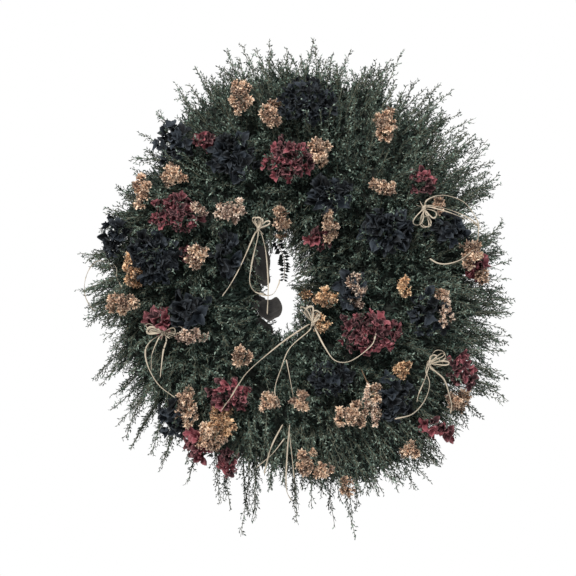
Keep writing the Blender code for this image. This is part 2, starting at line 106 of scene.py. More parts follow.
def places(points):
    """The places of many points, each of an x, a z and a depth in mm."""
    return np.array([place(*point) for point in points])


def polar(angle, radius):
    """Millimetres to the right of the axis and above it, from an angle in degrees and a radius in mm."""
    turn = math.radians(angle)
    return radius * math.cos(turn), radius * math.sin(turn)


def unit(vectors):
    return vectors / np.maximum(np.linalg.norm(vectors, axis=-1, keepdims=True), 1e-9)


def across(along, hint):
    """Unit vectors square to along, as near as can be to hint."""
    return unit(hint - along * np.sum(hint * along, axis=-1, keepdims=True))


def smooth_route(knots, step):
    """Points about step apart on one smooth curve through all the knots."""
    knots = [np.array(knot, float) for knot in knots]
    knots = [2 * knots[0] - knots[1]] + knots + [2 * knots[-1] - knots[-2]]
    route = []
    for a, b, c, d in zip(knots, knots[1:], knots[2:], knots[3:]):
        pieces = max(1, round(float(np.linalg.norm(c - b)) / step))
        square = 2 * a - 5 * b + 4 * c - d
        cube = 3 * b - a - 3 * c + d
        for t in np.arange(pieces) / pieces:
            route.append(b + ((c - a) * t + square * t**2 + cube * t**3) / 2)
    return np.array(route + [knots[-2]])


def skin_of(names):
    """A search tree over several CAD nodes."""
    points, faces = [], []
    for name in names:
        mesh = nodes[name].data
        faces += [[v + len(points) for v in p.vertices] for p in mesh.polygons]
        points += [v.co.copy() for v in mesh.vertices]
    return BVHTree.FromPolygons(points, faces)


BUNCHES = sorted(n for n in nodes if n.startswith("evergreen_bunch"))
HEADS = sorted(n for n in nodes if "hydrangea" in n)
SPRAYS = sorted(n for n in nodes if n.startswith("statice_spray"))
foliage_skin = skin_of(BUNCHES)
front_skin = skin_of(BUNCHES + HEADS + SPRAYS)


def front_at(x, z, missed=None, skin=front_skin):
    """The depth in mm of the CAD model's front at x and z in mm, or missed where there is none."""
    point = skin.ray_cast(Vector(place(x, z, 1000)), Vector((0, 1, 0)))[0]
    return missed if point is None else -point.y / MM


# ---- meshes from many small forms


class Heap:
    """Many copies of small triangle forms, gathered into one mesh with a tone and a mark for each point."""

    def __init__(self):
        self.points, self.faces, self.tones, self.marks, self.looks = [], [], [], [], []
        self.size = 0

    def add(self, points, faces, tone, marks=None, look=0):
        """Adds copies of one form. points and marks have a row for each copy, and look is its material."""
        copies = len(points)
        points = points.reshape(copies, -1, 3)
        count = points.shape[1]
        if marks is None:
            marks = np.zeros_like(points)
        start = self.size + count * np.arange(copies)
        self.points.append(points.reshape(-1, 3))
        self.faces.append((faces[None] + start[:, None, None]).reshape(-1, 3))
        self.tones.append(np.repeat(np.broadcast_to(tone, copies), count))
        self.marks.append(marks.reshape(-1, 3))
        self.looks.append(np.full(copies * len(faces), look))
        self.size += copies * count

    def build(self, name, materials, slot, node=None, smooth=True):
        """Makes the mesh a piece of the wreath, in place of a CAD node if one is named."""
        points = soft_limits(np.concatenate(self.points))
        faces = np.concatenate(self.faces).astype(np.int32)
        mesh = bpy.data.meshes.new(name)
        mesh.vertices.add(len(points))
        mesh.loops.add(faces.size)
        mesh.polygons.add(len(faces))
        tone = mesh.attributes.new("tone", "FLOAT", "POINT")
        mark = mesh.attributes.new("mark", "FLOAT_VECTOR", "POINT")
        for data, key, values, kind in (
            (mesh.vertices, "co", points, np.float32),
            (mesh.loops, "vertex_index", faces, np.int32),
            (mesh.polygons, "loop_start", np.arange(0, faces.size, 3), np.int32),
            (mesh.polygons, "material_index", np.concatenate(self.looks), np.int32),
            (mesh.polygons, "use_smooth", np.full(len(faces), smooth), bool),
            (tone.data, "value", np.concatenate(self.tones), np.float32),
            (mark.data, "vector", np.concatenate(self.marks), np.float32),
        ):
            data.foreach_set(key, values.astype(kind).ravel())
        mesh.update(calc_edges=True)
        for material in materials:
            mesh.materials.append(material)
        piece = linked(name, mesh)
        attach(piece, "wreath")
        if node:
            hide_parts(node)
        return piece


DOOR_SOFTENS = 10 * MM


def soft_limits(points):
    """Presses whatever would reach the door flat against it."""
    depth = -points[:, 1]
    near = depth < DOOR_SOFTENS
    depth[near] = DOOR_SOFTENS * np.exp((depth[near] - DOOR_SOFTENS) / DOOR_SOFTENS)
    points[:, 1] = -depth
    return points


def tube_faces(rings, sides):
    faces = []
    for ring in range(rings - 1):
        for side in range(sides):
            a = ring * sides + side
            b = ring * sides + (side + 1) % sides
            faces += [(a, b, b + sides), (a, b + sides, a + sides)]
    last = (rings - 1) * sides
    for side in range(1, sides - 1):
        faces.append((0, side + 1, side))
        faces.append((last, last + side, last + side + 1))
    return np.array(faces)


def add_tubes(heap, rng, lines, radii, tone, look, sides=3):
    """Round stems along many lines of equally many points."""
    along = unit(np.gradient(lines, axis=1))
    side = across(along, unit(rng.normal(size=(len(lines), 1, 3))))
    other = np.cross(along, side)
    turn = 2 * math.pi * np.arange(sides) / sides
    around = side[:, :, None] * np.cos(turn)[:, None] + other[:, :, None] * np.sin(turn)[:, None]
    points = lines[:, :, None] + around * radii[..., None, None]
    count = lines.shape[1]
    marks = marked(points, np.linspace(0, 1, count)[:, None], 0, rng.uniform(0, 50, (len(lines), 1, 1)))
    heap.add(points, tube_faces(count, sides), tone, marks, look)


def add_stalk(heap, rng, line, radius, tone, sides):
    """One stem of an even radius in mm."""
    add_tubes(heap, rng, line[None], np.full((1, len(line)), radius * MM), tone, 1, sides)


def marked(points, u, v, seed):
    """Marks for points: two places on the form, which its material follows, and a number of its own."""
    marks = np.zeros(points.shape)
    marks[..., 0], marks[..., 1], marks[..., 2] = u, v, seed
    return marks


LEAF_FACES = np.array([[0, 2, 1], [0, 1, 3], [0, 3, 2], [1, 2, 3]])
LEAF_WAIST = 0.42
LEAF_THICK = 0.16


def add_leaflets(heap, at, along, side, length, width, tone, look=0):
    """Small keeled leaves, each with its wide part at 42% of its length."""
    lift = np.cross(along, side) * (length * LEAF_THICK)[:, None]
    waist = at + along * (length * LEAF_WAIST)[:, None] + lift
    half = side * (width / 2)[:, None]
    tip = at + along * length[:, None]
    points = np.stack([at, tip, waist + half, waist - half], axis=1)
    heap.add(points, LEAF_FACES, tone, None, look)


# ---- raffia routes

# Diameters and lengths in mm, and each route's x, z and depth in mm.
STRAND = 2.4
LOOSE_STRAND = 1.9
KNOT_RADIUS = 3.4
LEAD_REACH = 24
TAILS = {
    "top_left": ((-39, 58, 106), (-54, 24, 107), (-65, 3, 110), (-75, -12, 113)),
    "top_middle": ((-34.5, 56.5, 106), (-42, 24, 105), (-44, 4, 104), (-38, -7, 100), (-27, -9, 94)),
    "top_right": ((-29.5, 57, 106), (-25, 35, 101), (-23, 1, 96), (-24, -33, 99)),
    "right": (
        (157, 96.5, 117), (168, 102, 114), (183, 103, 110), (204, 95, 105), (219, 76, 99),
        (221, 67, 98), (219, 53, 102), (213, 44, 112), (206, 37, 116), (195, 29, 115),
        (181, 25, 114), (170, 26, 115), (161, 31, 116),
    ),
    "left_long": ((-156, -63, 116), (-162, -74, 116), (-159, -91, 117), (-147, -112, 117), (-128, -127, 117)),
    "left_short": ((-138, -62, 116), (-142, -76, 116), (-145, -104, 117)),
    "centre_long": (
        (20, -47, 101), (-9, -67, 101), (-43, -95, 114), (-55, -110, 125), (-63, -123, 128), (-75, -140, 128),
    ),
    "centre_short": ((24, -52, 101), (2, -72, 100), (-8, -95, 109), (-15, -118, 115), (-11, -138, 117)),
    "centre_arc": (
        (33, -52.5, 102), (42, -70, 113), (53, -84, 125), (70, -84, 129), (92, -67, 134), (98, -53, 135),
    ),
    "lower_right_long": (
        (157, -97, 114), (161, -112, 115), (155, -131, 115), (141, -146, 115), (121, -151, 117),
    ),
    "lower_right_short": (
        (167, -96.5, 113), (178, -107, 112), (185, -124, 106), (189, -138, 101), (188, -148, 99),
    ),
    "bottom_left": ((-6, -157, 118), (-18, -180, 118), (-24, -200, 117), (-27, -214, 115)),
    "bottom_right": ((2, -157, 118), (-1, -191, 118), (-2, -230, 113), (4, -247, 107)),
}
LOOSE_STRANDS = {
    "right_pair_1": ((160, 91, 118), (178, 87, 122), (200, 79, 120), (218, 68, 116)),
    "right_pair_2": ((160, 89, 121), (180, 83, 124), (201, 75, 122), (219, 65, 118)),
    "left_middle": ((-147, -60, 118), (-154, -78, 119), (-155, -96, 118)),
    "centre_branch": ((-2, -84, 111), (2, -104, 116), (6, -126, 118)),
    "lower_right_middle": ((160, -92, 116), (154, -108, 119), (148, -122, 119), (146, -132, 118)),
    "bottom_cross": ((-4, -172, 122), (-18, -190, 121), (-36, -206, 118)),
    "bottom_middle": ((1, -160, 121), (4, -188, 121), (7, -218, 117)),
    "hole_arc": ((-38, -7, 101), (-27, -11, 98), (-17, -9, 94), (-11, 2, 90), (-10, 8, 88)),
    "curl_left": (
        (-204, 8, 70), (-215, 27, 68), (-232, 29, 64), (-243, 14, 62), (-246, -6, 62),
        (-240, -22, 64), (-229, -33, 66),
    ),
    "curl_left_inner": ((-192, -6, 92), (-200, 10, 90), (-201, 20, 88), (-206, 27, 86)),
}
STRAND_POINTS = np.concatenate([smooth_route(knots, 5.0) for knots in TAILS.values()])[:, :2]


# ---- evergreen plumes

STEM_POINTS = 8
BRANCH_POINTS = 3
LEAF_STEP = 2.0 * MM
LEAVES_A_BRANCH = 14
LEAF_LENGTH = 4.0 * MM
LEAF_WIDTH = 1.6 * MM
PAINTED_HIGHLIGHT_SHARE = 0.30
STEM_SWAY = 0.11
STEM_LIFT = 0.07
BRANCH_CURL = 0.35
BRANCH_DROOP = 0.10
BRANCH_STRAY = 0.14


def bezier(start, control, end, t):
    t = t[..., None]
    return start * (1 - t) ** 2 + 2 * control * t * (1 - t) + end * t**2


def bezier_direction(start, control, end, t):
    t = t[..., None]
    return unit((control - start) * (1 - t) + (end - control) * t)


def spiralled(rng, along, least, most):
    """Directions set all round each line from point to point, least to most degrees away from its own."""
    lines, points = along.shape[:2]
    side = across(along, unit(rng.normal(size=(lines, 1, 3))))
    other = np.cross(along, side)
    turn = GOLDEN * np.arange(points) + rng.uniform(0, 6.28, (lines, 1))
    out = side * np.cos(turn)[..., None] + other * np.sin(turn)[..., None]
    spread = np.radians(rng.uniform(least, most, (lines, points)))[..., None]
    return along * np.cos(spread) + out * np.sin(spread)


def add_plumes(heap, rng, roots, tips, fullness, branches, bare, painted_shade):
    """Feathery sprigs, each from a root to a tip, with side branchlets all round that carry small leaves."""
    count = len(roots)
    span = tips - roots
    reach = np.linalg.norm(span, axis=1)
    sway = rng.normal(size=(count, 3)) * STEM_SWAY * reach[:, None]
    control = roots + span * 0.5 + sway + UP * STEM_LIFT * reach[:, None]
    start, control, end = roots[:, None], control[:, None], tips[:, None]
    # painted shade: painted_shade lowers the tone of the sprigs round the rim, in the hole and in the wisps
    sprig_tone = rng.uniform(0.05, 0.60, count) - painted_shade

    t = np.broadcast_to(np.linspace(0, 1, STEM_POINTS), (count, STEM_POINTS))
    add_tubes(heap, rng, bezier(start, control, end, t), (1.05 - 0.75 * t) * MM, sprig_tone, 1)

    t = bare + (0.985 - bare) * (np.arange(branches) + rng.uniform(0, 0.8, (count, branches))) / branches
    base = bezier(start, control, end, t).reshape(-1, 3)
    along = bezier_direction(start, control, end, t)
    heading = spiralled(rng, along, 22, 50).reshape(-1, 3)
    along = along.reshape(-1, 3)
    length = (6 * MM + 20 * MM * (1 - t) ** 0.75) * rng.uniform(0.65, 1.3, (count, branches))
    length = (length * fullness[:, None]).ravel()
    tone = np.clip(np.repeat(sprig_tone, branches) + rng.normal(0, 0.07, len(base)), 0, 1)
    curl = (along - heading) * BRANCH_CURL - UP * BRANCH_DROOP + rng.normal(size=heading.shape) * BRANCH_STRAY

    def branch(share):
        share = share[..., None]
        return base[:, None] + length[:, None, None] * (heading[:, None] * share + curl[:, None] * share**2)

    share = np.broadcast_to(np.linspace(0, 1, BRANCH_POINTS), (len(base), BRANCH_POINTS))
    add_tubes(heap, rng, branch(share), (0.5 - 0.28 * share) * MM, tone, 1)

    step = (np.arange(LEAVES_A_BRANCH) + rng.uniform(0.2, 0.9, (len(base), LEAVES_A_BRANCH))) * LEAF_STEP
    keep = step < length[:, None]
    share = step / length[:, None]
    way = unit(heading[:, None] + 2 * curl[:, None] * share[..., None])
    leaf = spiralled(rng, way, 25, 65)[keep]
    flat = across(leaf, rng.normal(size=leaf.shape))
    size = rng.uniform(0.7, 1.25, len(leaf))
    # painted highlights: this share of the leaves is made pale, standing for glints of light
    pale = rng.uniform(0, 1, len(leaf)) < PAINTED_HIGHLIGHT_SHARE
    leaf_tone = np.broadcast_to(tone[:, None], keep.shape)[keep] + rng.normal(0, 0.10, len(leaf)) + 0.5 * pale
    leaf_tone = np.clip(leaf_tone, 0, 1)
    add_leaflets(heap, branch(share)[keep], leaf, flat, LEAF_LENGTH * size, LEAF_WIDTH * size, leaf_tone)


RING_RADIUS = 126
FRONT_PITCH = 12.0
SIDE_TURNS = 185
INNER_TURNS = 60
LEAN = 9
TUFTS = 27
# The share of sprigs that poke through a bloom.
THROUGH_BLOOMS = 0.40
# The least and the most depth in mm of the three bands of sprigs round the outside and the hole.
RIM_BANDS = ((14, 32), (32, 56), (56, 84))
# Sprigs whose tips come within so many mm of a raffia strand stay so many mm lower, and it lies on top.
STRAND_OVER_FRONT = (11, 11)
STRAND_OVER_RIM = (45, 26)
# How far from the axis, in mm, the foliage stays thick, every 15 degrees from the right-hand side
# anticlockwise. Past that there are only scattered wisps.
DENSE_REACH = (
    256, 264, 284, 286, 284, 284, 260, 270, 242, 206, 222, 238, 224, 238, 202, 202, 226, 216,
    218, 244, 272, 270, 290, 264,
)


def root_for(rng, angle, radius=RING_RADIUS):
    """Where a sprig's stem leaves the bundle: along the ring, a little behind its tip's angle."""
    angle = angle - LEAN + rng.uniform(-7, 7)
    x, z = polar(angle, radius + rng.uniform(-20, 20))
    return place(x, z, rng.uniform(26, 46))


def dense_radius(angle):
    """The foliage's thick reach at any angle in degrees."""
    step = (angle % 360) * len(DENSE_REACH) / 360
    before = int(step) % len(DENSE_REACH)
    after = (before + 1) % len(DENSE_REACH)
    return DENSE_REACH[before] + (step - int(step)) * (DENSE_REACH[after] - DENSE_REACH[before])


def inside(x, z):
    """Keeps a tip near the CAD box, at most so far past it."""
    low, high = cad_box
    x = min(max(x, low.x / MM - 9), high.x / MM + 13)
    return x, min(max(z, (low.z - AXIS_Z) / MM - 17), (high.z - AXIS_Z) / MM + 15)


def tufts(rng):
    """Each tuft's middle in degrees, the way its sprigs lean and how far they stand out in mm."""
    middle = 360 * (np.arange(TUFTS) + rng.uniform(-0.3, 0.3, TUFTS)) / TUFTS
    return middle, rng.normal(0, 4, TUFTS), rng.uniform(-10, 16, TUFTS)


def gathered(angle, tuft, share):
    """An angle drawn towards the nearest tuft's middle, and how far that tuft stands out."""
    middle, lean, extra = tuft
    apart = (middle - angle + 180) % 360 - 180
    nearest = int(np.argmin(np.abs(apart)))
    return angle + share * (apart[nearest] + lean[nearest]), extra[nearest]


def sunk(x, z, reach, sink):
    """How much lower a tip at x and z in mm lies for a raffia strand that presses it down."""
    return sink if np.min(np.hypot(STRAND_POINTS[:, 0] - x, STRAND_POINTS[:, 1] - z)) < reach else 0


def front_tips(rng):
    """Tips spread over the foliage's front, each on the CAD surface, thinning out towards the rim."""
    low, high = cad_box
    found = []
    for x in np.arange(low.x / MM, high.x / MM, FRONT_PITCH):
        for z in np.arange((low.z - AXIS_Z) / MM, (high.z - AXIS_Z) / MM, FRONT_PITCH):
            px, pz = x + rng.uniform(0, FRONT_PITCH), z + rng.uniform(0, FRONT_PITCH)
            level = front_at(px, pz, skin=foliage_skin)
            if level is None or level < 15:
                continue
            angle, radius = math.degrees(math.atan2(pz, px)), math.hypot(px, pz)
            if rng.uniform(0, 1) < (radius - dense_radius(angle)) / 18:
                continue
            depth = level + rng.uniform(-16, 8)
            bloom = front_at(px, pz)
            if bloom > level + 3 and rng.uniform(0, 1) < THROUGH_BLOOMS:
                depth = bloom + rng.uniform(3, 12)
            depth -= sunk(px, pz, *STRAND_OVER_FRONT)
            found.append((root_for(rng, angle), place(px, pz, depth)))
    return found


def outer_tips(rng, tuft):
    """Tips round the outside of the foliage."""
    found = []
    for turn in range(SIDE_TURNS):
        for low, high in RIM_BANDS:
            angle = 360 * (turn + rng.uniform(0, 1)) / SIDE_TURNS
            depth = rng.uniform(low, high)
            aim, extra = gathered(angle, tuft, 0.45)
            x, z = inside(*polar(aim, dense_radius(aim) + extra + rng.uniform(-18, 12)))
            depth = max(low, depth - sunk(x, z, *STRAND_OVER_RIM))
            found.append((root_for(rng, angle, RING_RADIUS + 14), place(x, z, depth)))
    return found


def inner_tips(rng):
    """Tips round the hole, which close it in most on the right."""
    found = []
    for turn in range(INNER_TURNS):
        for low, high in RIM_BANDS:
            angle = 360 * (turn + rng.uniform(0, 1)) / INNER_TURNS
            depth = rng.uniform(low, high)
            x, z = polar(angle, 1)
            point = foliage_skin.ray_cast(Vector(place(-6, 0, depth)), Vector((x, 0, z)))[0]
            closing = 13 * max(0, x) + 5 * max(0, z)
            tip = np.array(point) + np.array([x, 0, z]) * (rng.uniform(-9, 4) - closing) * MM
            found.append((root_for(rng, angle), tip))
    return found


WISPS = (
    # angle in degrees, radius and depth in mm of each long sprig that stands out of the outline
    (101, 300, 62), (94.5, 296, 70), (84, 303, 60), (104.5, 297, 55), (69, 282, 62), (64, 322, 58),
    (58, 292, 62), (50, 315, 55), (45, 298, 60), (38, 292, 58), (113, 290, 60), (119, 282, 58),
    (127, 262, 56), (134, 256, 60), (141, 246, 58), (150, 238, 60), (157, 243, 55), (163, 236, 62),
    (172, 246, 60), (181, 247, 55), (186, 240, 62), (191, 241, 66), (206, 262, 60), (212, 252, 55),
    (219, 262, 60), (226, 272, 64), (231, 262, 58), (235, 268, 66), (243, 268, 62), (253, 272, 70),
    (259.3, 306, 64), (262, 290, 58), (276, 266, 72), (285, 314, 62),
    (281, 298, 60), (288, 272, 76), (294, 270, 62), (300, 274, 66), (306, 272, 56), (312, 262, 70),
    (319, 268, 58), (324, 262, 64), (331, 270, 60), (338, 272, 64), (345, 266, 58), (353, 262, 62),
    (2, 262, 60), (9, 264, 56), (17, 270, 62), (25, 280, 58), (31, 290, 62), (272, 284, 66),
    (90, 282, 64), (98, 288, 56), (108, 282, 60), (116, 272, 60), (75, 296, 56), (79, 288, 66),
    (53, 302, 60), (42, 300, 58), (35, 296, 60), (208, 256, 64), (215, 262, 58), (223, 264, 62),
    (298, 282, 58), (310, 280, 62), (322, 278, 58), (302, 290, 60), (326, 284, 62), (334, 280, 58),
)


def wisp_tips(rng):
    """Each wisp is a main sprig with one or two shorter ones beside it."""
    found = []
    for angle, radius, depth in WISPS:
        droop = max(0, -math.sin(math.radians(angle)))
        for short in (0, rng.uniform(12, 26), rng.uniform(26, 52)):
            x, z = inside(*polar(angle + rng.uniform(-1, 1) * short * 0.12, radius - short))
            rx, rz = polar(angle - LEAN / 2 + rng.uniform(-5, 5), RING_RADIUS + rng.uniform(20, 50))
            root = place(rx + 0.45 * droop * (x - rx), rz, rng.uniform(40, 60))
            found.append((root, place(x, z, depth + rng.uniform(-10, 10))))
    return found


HOLE_SPRIGS = (
    # the root's and the tip's x, z and depth in mm of sprigs that hang across the hole
    ((22, 84, 70), (3, 40, 68)), ((12, 88, 78), (-4, 47, 76)), ((-4, 90, 70), (-16, 54, 66)),
    ((-22, 88, 76), (-21, 50, 78)), ((-36, 82, 66), (-30, 52, 70)), ((38, 70, 60), (8, 28, 66)),
    ((40, 44, 66), (14, 18, 72)), ((42, 12, 60), (15, -8, 66)), ((40, -16, 70), (12, -24, 78)),
    ((36, -52, 62), (8, -50, 72)), ((14, -84, 66), (2, -56, 72)), ((-8, -86, 60), (-10, -60, 66)),
    ((-34, -72, 60), (-22, -56, 66)), ((30, 76, 62), (5, 53, 66)), ((40, 62, 58), (10, 44, 62)),
    ((42, 52, 72), (9, 36, 76)), ((44, 34, 58), (8, 24, 60)), ((44, 24, 76), (10, 9, 80)),
    ((43, 4, 66), (9, -2, 70)), ((42, -6, 58), (10, -15, 62)), ((40, -26, 62), (10, -38, 66)),
)


def bunch_of(tip):
    """The number, from 0, of the bunch that a tip belongs to."""
    angle = math.degrees(math.atan2(tip[2] - AXIS_Z, tip[0])) % 360
    return int(angle * len(BUNCHES) / 360) % len(BUNCHES)


BUNDLE_STEMS = 15


def add_bundle(heap, rng, number):
    """The bunch's stems, which lie along the raised rings and splay into the foliage."""
    first = 36 * number - 3
    steps = np.linspace(0, 1, 9)
    lines, radii = [], []
    for stem in range(BUNDLE_STEMS):
        turn, share = GOLDEN * stem, math.sqrt((stem + 0.5) / BUNDLE_STEMS)
        radial, depth = 9.4 * share * math.cos(turn), 5.2 * share * math.sin(turn)
        line = []
        for step in steps:
            flare = 14 * max(0, step - 0.8) ** 2
            x, z = polar(first + 38 * step, RING_RADIUS + radial * (1 + flare))
            line.append(place(x, z, 25.2 + depth + 30 * flare * rng.uniform(0.6, 1)))
        lines.append(line)
        radii.append(np.full(len(steps), rng.uniform(1.0, 1.4) * MM))
    tone = rng.uniform(0, 1, BUNDLE_STEMS)
    add_tubes(heap, rng, np.array(lines), np.array(radii), tone, 2, sides=6)


def make_foliage(materials):
    rng = np.random.default_rng(11)
    tuft = tufts(rng)
    groups = (
        # the sprigs' roots and tips, how bushy they are, their branchlets, how much of their foot is bare
        # and how far their tone is lowered, a painted shade on the sprigs round the rim, in the hole and in
        # the wisps
        (front_tips(rng), 0.95, 14, 0.44, 0.0),
        (outer_tips(rng, tuft), 0.95, 19, 0.20, 0.10),
        (inner_tips(rng), 0.62, 18, 0.16, 0.05),
        (wisp_tips(rng), 0.8, 24, 0.20, 0.20),
        ([places(ends) for ends in HOLE_SPRIGS], 0.6, 12, 0.16, 0.10),
    )
    for number, name in enumerate(BUNCHES):
        front, rest = Heap(), Heap()
        for heap, (found, fullness, *habit) in zip((front, rest, rest, rest, rest), groups):
            chosen = np.array([ends for ends in found if bunch_of(ends[1]) == number])
            if len(chosen):
                full = fullness * rng.uniform(0.8, 1.2, len(chosen))
                add_plumes(heap, rng, chosen[:, 0], chosen[:, 1], full, *habit)
        add_bundle(rest, rng, number)
        rest.build(name.replace("bunch", "plumes"), materials, "evergreen", name, smooth=False)
        front.build(name.replace("bunch", "face"), materials, "evergreen", smooth=False)


CORE_TURNS = 240
CORE_SIDES = 36
CORE_DEPTH = 62
CORE_FRONT = 26
CORE_BACK = 19


def make_core(material, leaf):
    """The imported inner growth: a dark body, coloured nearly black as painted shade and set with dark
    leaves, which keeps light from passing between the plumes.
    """
    rng = np.random.default_rng(5)
    heap = Heap()
    grid = np.zeros((CORE_TURNS, CORE_SIDES, 3))
    for turn in range(CORE_TURNS):
        angle = 360 * turn / CORE_TURNS
        x, z = polar(angle, 1)
        way = Vector((x, 0, z))
        outer = foliage_skin.ray_cast(Vector(place(400 * x, 400 * z, 52)), -way)[0]
        inner = foliage_skin.ray_cast(Vector(place(-6, 0, 52)), way)[0]
        far = min(math.hypot(outer.x, outer.z - AXIS_Z) / MM - 34, dense_radius(angle) - 8)
        near = math.hypot(inner.x, inner.z - AXIS_Z) / MM + 20
        for side in range(CORE_SIDES):
            section = 2 * math.pi * side / CORE_SIDES
            bump = 1 + rng.uniform(-0.09, 0.09)
            radius = (far + near) / 2 + (far - near) / 2 * math.cos(section) * bump
            rise = CORE_BACK if math.sin(section) < 0 else CORE_FRONT
            grid[turn, side] = place(radius * x, radius * z, CORE_DEPTH + rise * math.sin(section) * bump)
    a = np.arange(CORE_TURNS * CORE_SIDES).reshape(CORE_TURNS, CORE_SIDES)
    b, c = np.roll(a, -1, axis=1), np.roll(a, -1, axis=0)
    d = np.roll(b, -1, axis=0)
    heap.add(grid[None], np.stack([a, c, b, b, c, d], axis=2).reshape(-1, 3), 0.1)
    out = unit(grid - grid.mean(axis=1, keepdims=True)).reshape(-1, 3)
    at = grid.reshape(-1, 3)
    at = np.repeat(at, 3, axis=0) + rng.normal(size=(3 * len(at), 3)) * 2.5 * MM
    out = unit(np.repeat(out, 3, axis=0) + 0.6 * rng.normal(size=at.shape))
    length = rng.uniform(6, 11, len(at)) * MM
    flat = across(out, rng.normal(size=at.shape))
    # painted shade: the leaves on the body take only the low, dark end of the leaf ramp
    add_leaflets(heap, at, out, flat, length, length * 0.35, rng.uniform(0, 0.35, len(at)), 1)
    heap.build("inner_shade_body", [material, leaf], "evergreen", smooth=False)


# ---- petals and blooms


def petal_faces(rows, columns):
    faces = []
    for row in range(rows - 1):
        for column in range(columns - 1):
            a = row * columns + column
            b = a + columns
            faces += [(a, a + 1, b + 1), (a, b + 1, b)]
    return np.array(faces)


def add_petals(heap, rng, at, axis, out, length, width, rise, curl, crumple, tone, pointed, rows, columns):
    """Many papery petals. Each starts at a point, heads out and rises towards its floret's axis.

    crumple is how deep its folds are as a share of its length, and pointed is 0 round to 1 sharp.
    """
    count = len(at)
    v = np.linspace(0, 1, rows)
    u = np.linspace(-1, 1, columns)
    round_form = np.sin(np.pi * np.clip(0.10 + 0.86 * v**0.85, 0, 1)) ** 0.75
    sharp_form = np.sin(np.pi * np.clip(0.12 + 0.88 * v, 0, 1)) ** 0.9 * (1 - 0.35 * v)
    form = round_form * (1 - pointed) + sharp_form * pointed
    angle = rise[:, None] + curl[:, None] * v
    step = length[:, None] / (rows - 1)
    run = np.cumsum(np.cos(angle) * step, axis=1) - np.cos(angle[:, :1]) * step
    climb = np.cumsum(np.sin(angle) * step, axis=1) - np.sin(angle[:, :1]) * step
    side = np.cross(axis, out)
    half = width[:, None] / 2 * form
    normal = axis[:, None] * np.cos(angle)[..., None] - out[:, None] * np.sin(angle)[..., None]
    spine = at[:, None] + out[:, None] * run[..., None] + axis[:, None] * climb[..., None]
    phase = rng.uniform(0, 6.28, (count, 1, 1, 3))
    uu, vv = u[None, None, :], v[None, :, None]
    fold = np.sin(5.2 * uu + phase[..., 0] + 2.2 * vv) + 0.8 * np.sin(7.5 * vv + phase[..., 1] + 2.0 * uu)
    fold = fold * crumple * (0.25 + 0.75 * vv) * length[:, None, None]
    gutter = 0.22 * width[:, None, None] * np.abs(uu) ** 1.6 * np.sin(np.pi * vv * 0.8)
    edge = 1 + 0.10 * np.sin(9 * vv + phase[..., 2]) * np.abs(uu)
    points = (
        spine[:, :, None]
        + side[:, None, None] * (half[:, :, None] * uu * edge)[..., None]
        + normal[:, :, None] * (fold + gutter)[..., None]
    )
    marks = marked(points, uu, vv, rng.uniform(0, 50, (count, 1, 1)))
    heap.add(points, petal_faces(rows, columns), tone, marks)


def spiral(count, rng):
    """Points spread nearly evenly over a disc of radius 1."""
    index = np.arange(count)
    radius = np.sqrt((index + 0.5) / count)
    turn = GOLDEN * index + rng.uniform(0, 6.28)
    points = np.stack([radius * np.cos(turn), radius * np.sin(turn)], axis=1)
    return points + rng.normal(0, 0.05, points.shape)


def turned(a, b, tilt):
    """a and b turned in the view by tilt degrees."""
    turn = math.radians(tilt)
    return a * math.cos(turn) - b * math.sin(turn), a * math.sin(turn) + b * math.cos(turn)


def head_points(rng, count, x, z, width, height, dome, tilt):
    """Florets' places and facings on a domed head with its middle at x and z, in mm, turned by tilt."""
    level = front_at(x, z, 90)
    turn = math.radians(tilt)
    at, axis = [], []
    for a, b in spiral(count, rng):
        dx = (a * math.cos(turn) * width - b * math.sin(turn) * height) / 2
        dz = (a * math.sin(turn) * width + b * math.cos(turn) * height) / 2
        rho = min(1.0, a * a + b * b)
        under = front_at(x + dx, z + dz, level - 30)
        depth = max(min(under, level + 4), level - 34) + dome * (1 - rho) - 3
        at.append(place(x + dx, z + dz, depth))
        lean = 0.9 * math.sqrt(rho)
        outward = 0.35 * math.hypot(x, z) / SPREAD_RADIUS
        axis.append([a * lean + outward * x / SPREAD_RADIUS, -1.0, b * lean + outward * z / SPREAD_RADIUS])
    return np.array(at), unit(np.array(axis))


def add_florets(heap, rng, at, axis, sepals, size, tone, rise, width, crumple, pointed, rows, columns):
    """Small flowers of several sepals each, which stand up by an angle within rise, in degrees."""
    count = len(at)
    shape = (count, sepals)
    tilt = unit(axis + 0.30 * rng.normal(size=axis.shape))
    side = across(tilt, rng.normal(size=tilt.shape))
    other = np.cross(tilt, side)
    turn = (np.arange(sepals) * 2 * math.pi / sepals)[None] + rng.normal(0, 0.16, shape)
    out = side[:, None] * np.cos(turn)[..., None] + other[:, None] * np.sin(turn)[..., None]
    length = size[:, None] * rng.uniform(0.78, 1.15, shape)
    open_angle = np.radians(rng.uniform(*rise, shape)).ravel()
    curl = np.radians(rng.uniform(-55, 40, shape)).ravel()
    tones = np.clip(np.repeat(tone, sepals) + rng.normal(0, 0.10, count * sepals), 0, 1)
    at, tilt, out = np.repeat(at, sepals, axis=0), np.repeat(tilt, sepals, axis=0), out.reshape(-1, 3)
    width, length = (length * width).ravel(), length.ravel()
    form = crumple, tones, pointed, rows, columns
    add_petals(heap, rng, at, tilt, out, length, width, open_angle, curl, *form)


WHORLS = (
    # an open bloom's petals in a whorl, how far out they start, how they rise in degrees, and their size
    (12, 0.66, (8, 38), 1.0), (10, 0.36, (26, 58), 0.82), (6, 0.10, (48, 78), 0.6),
)


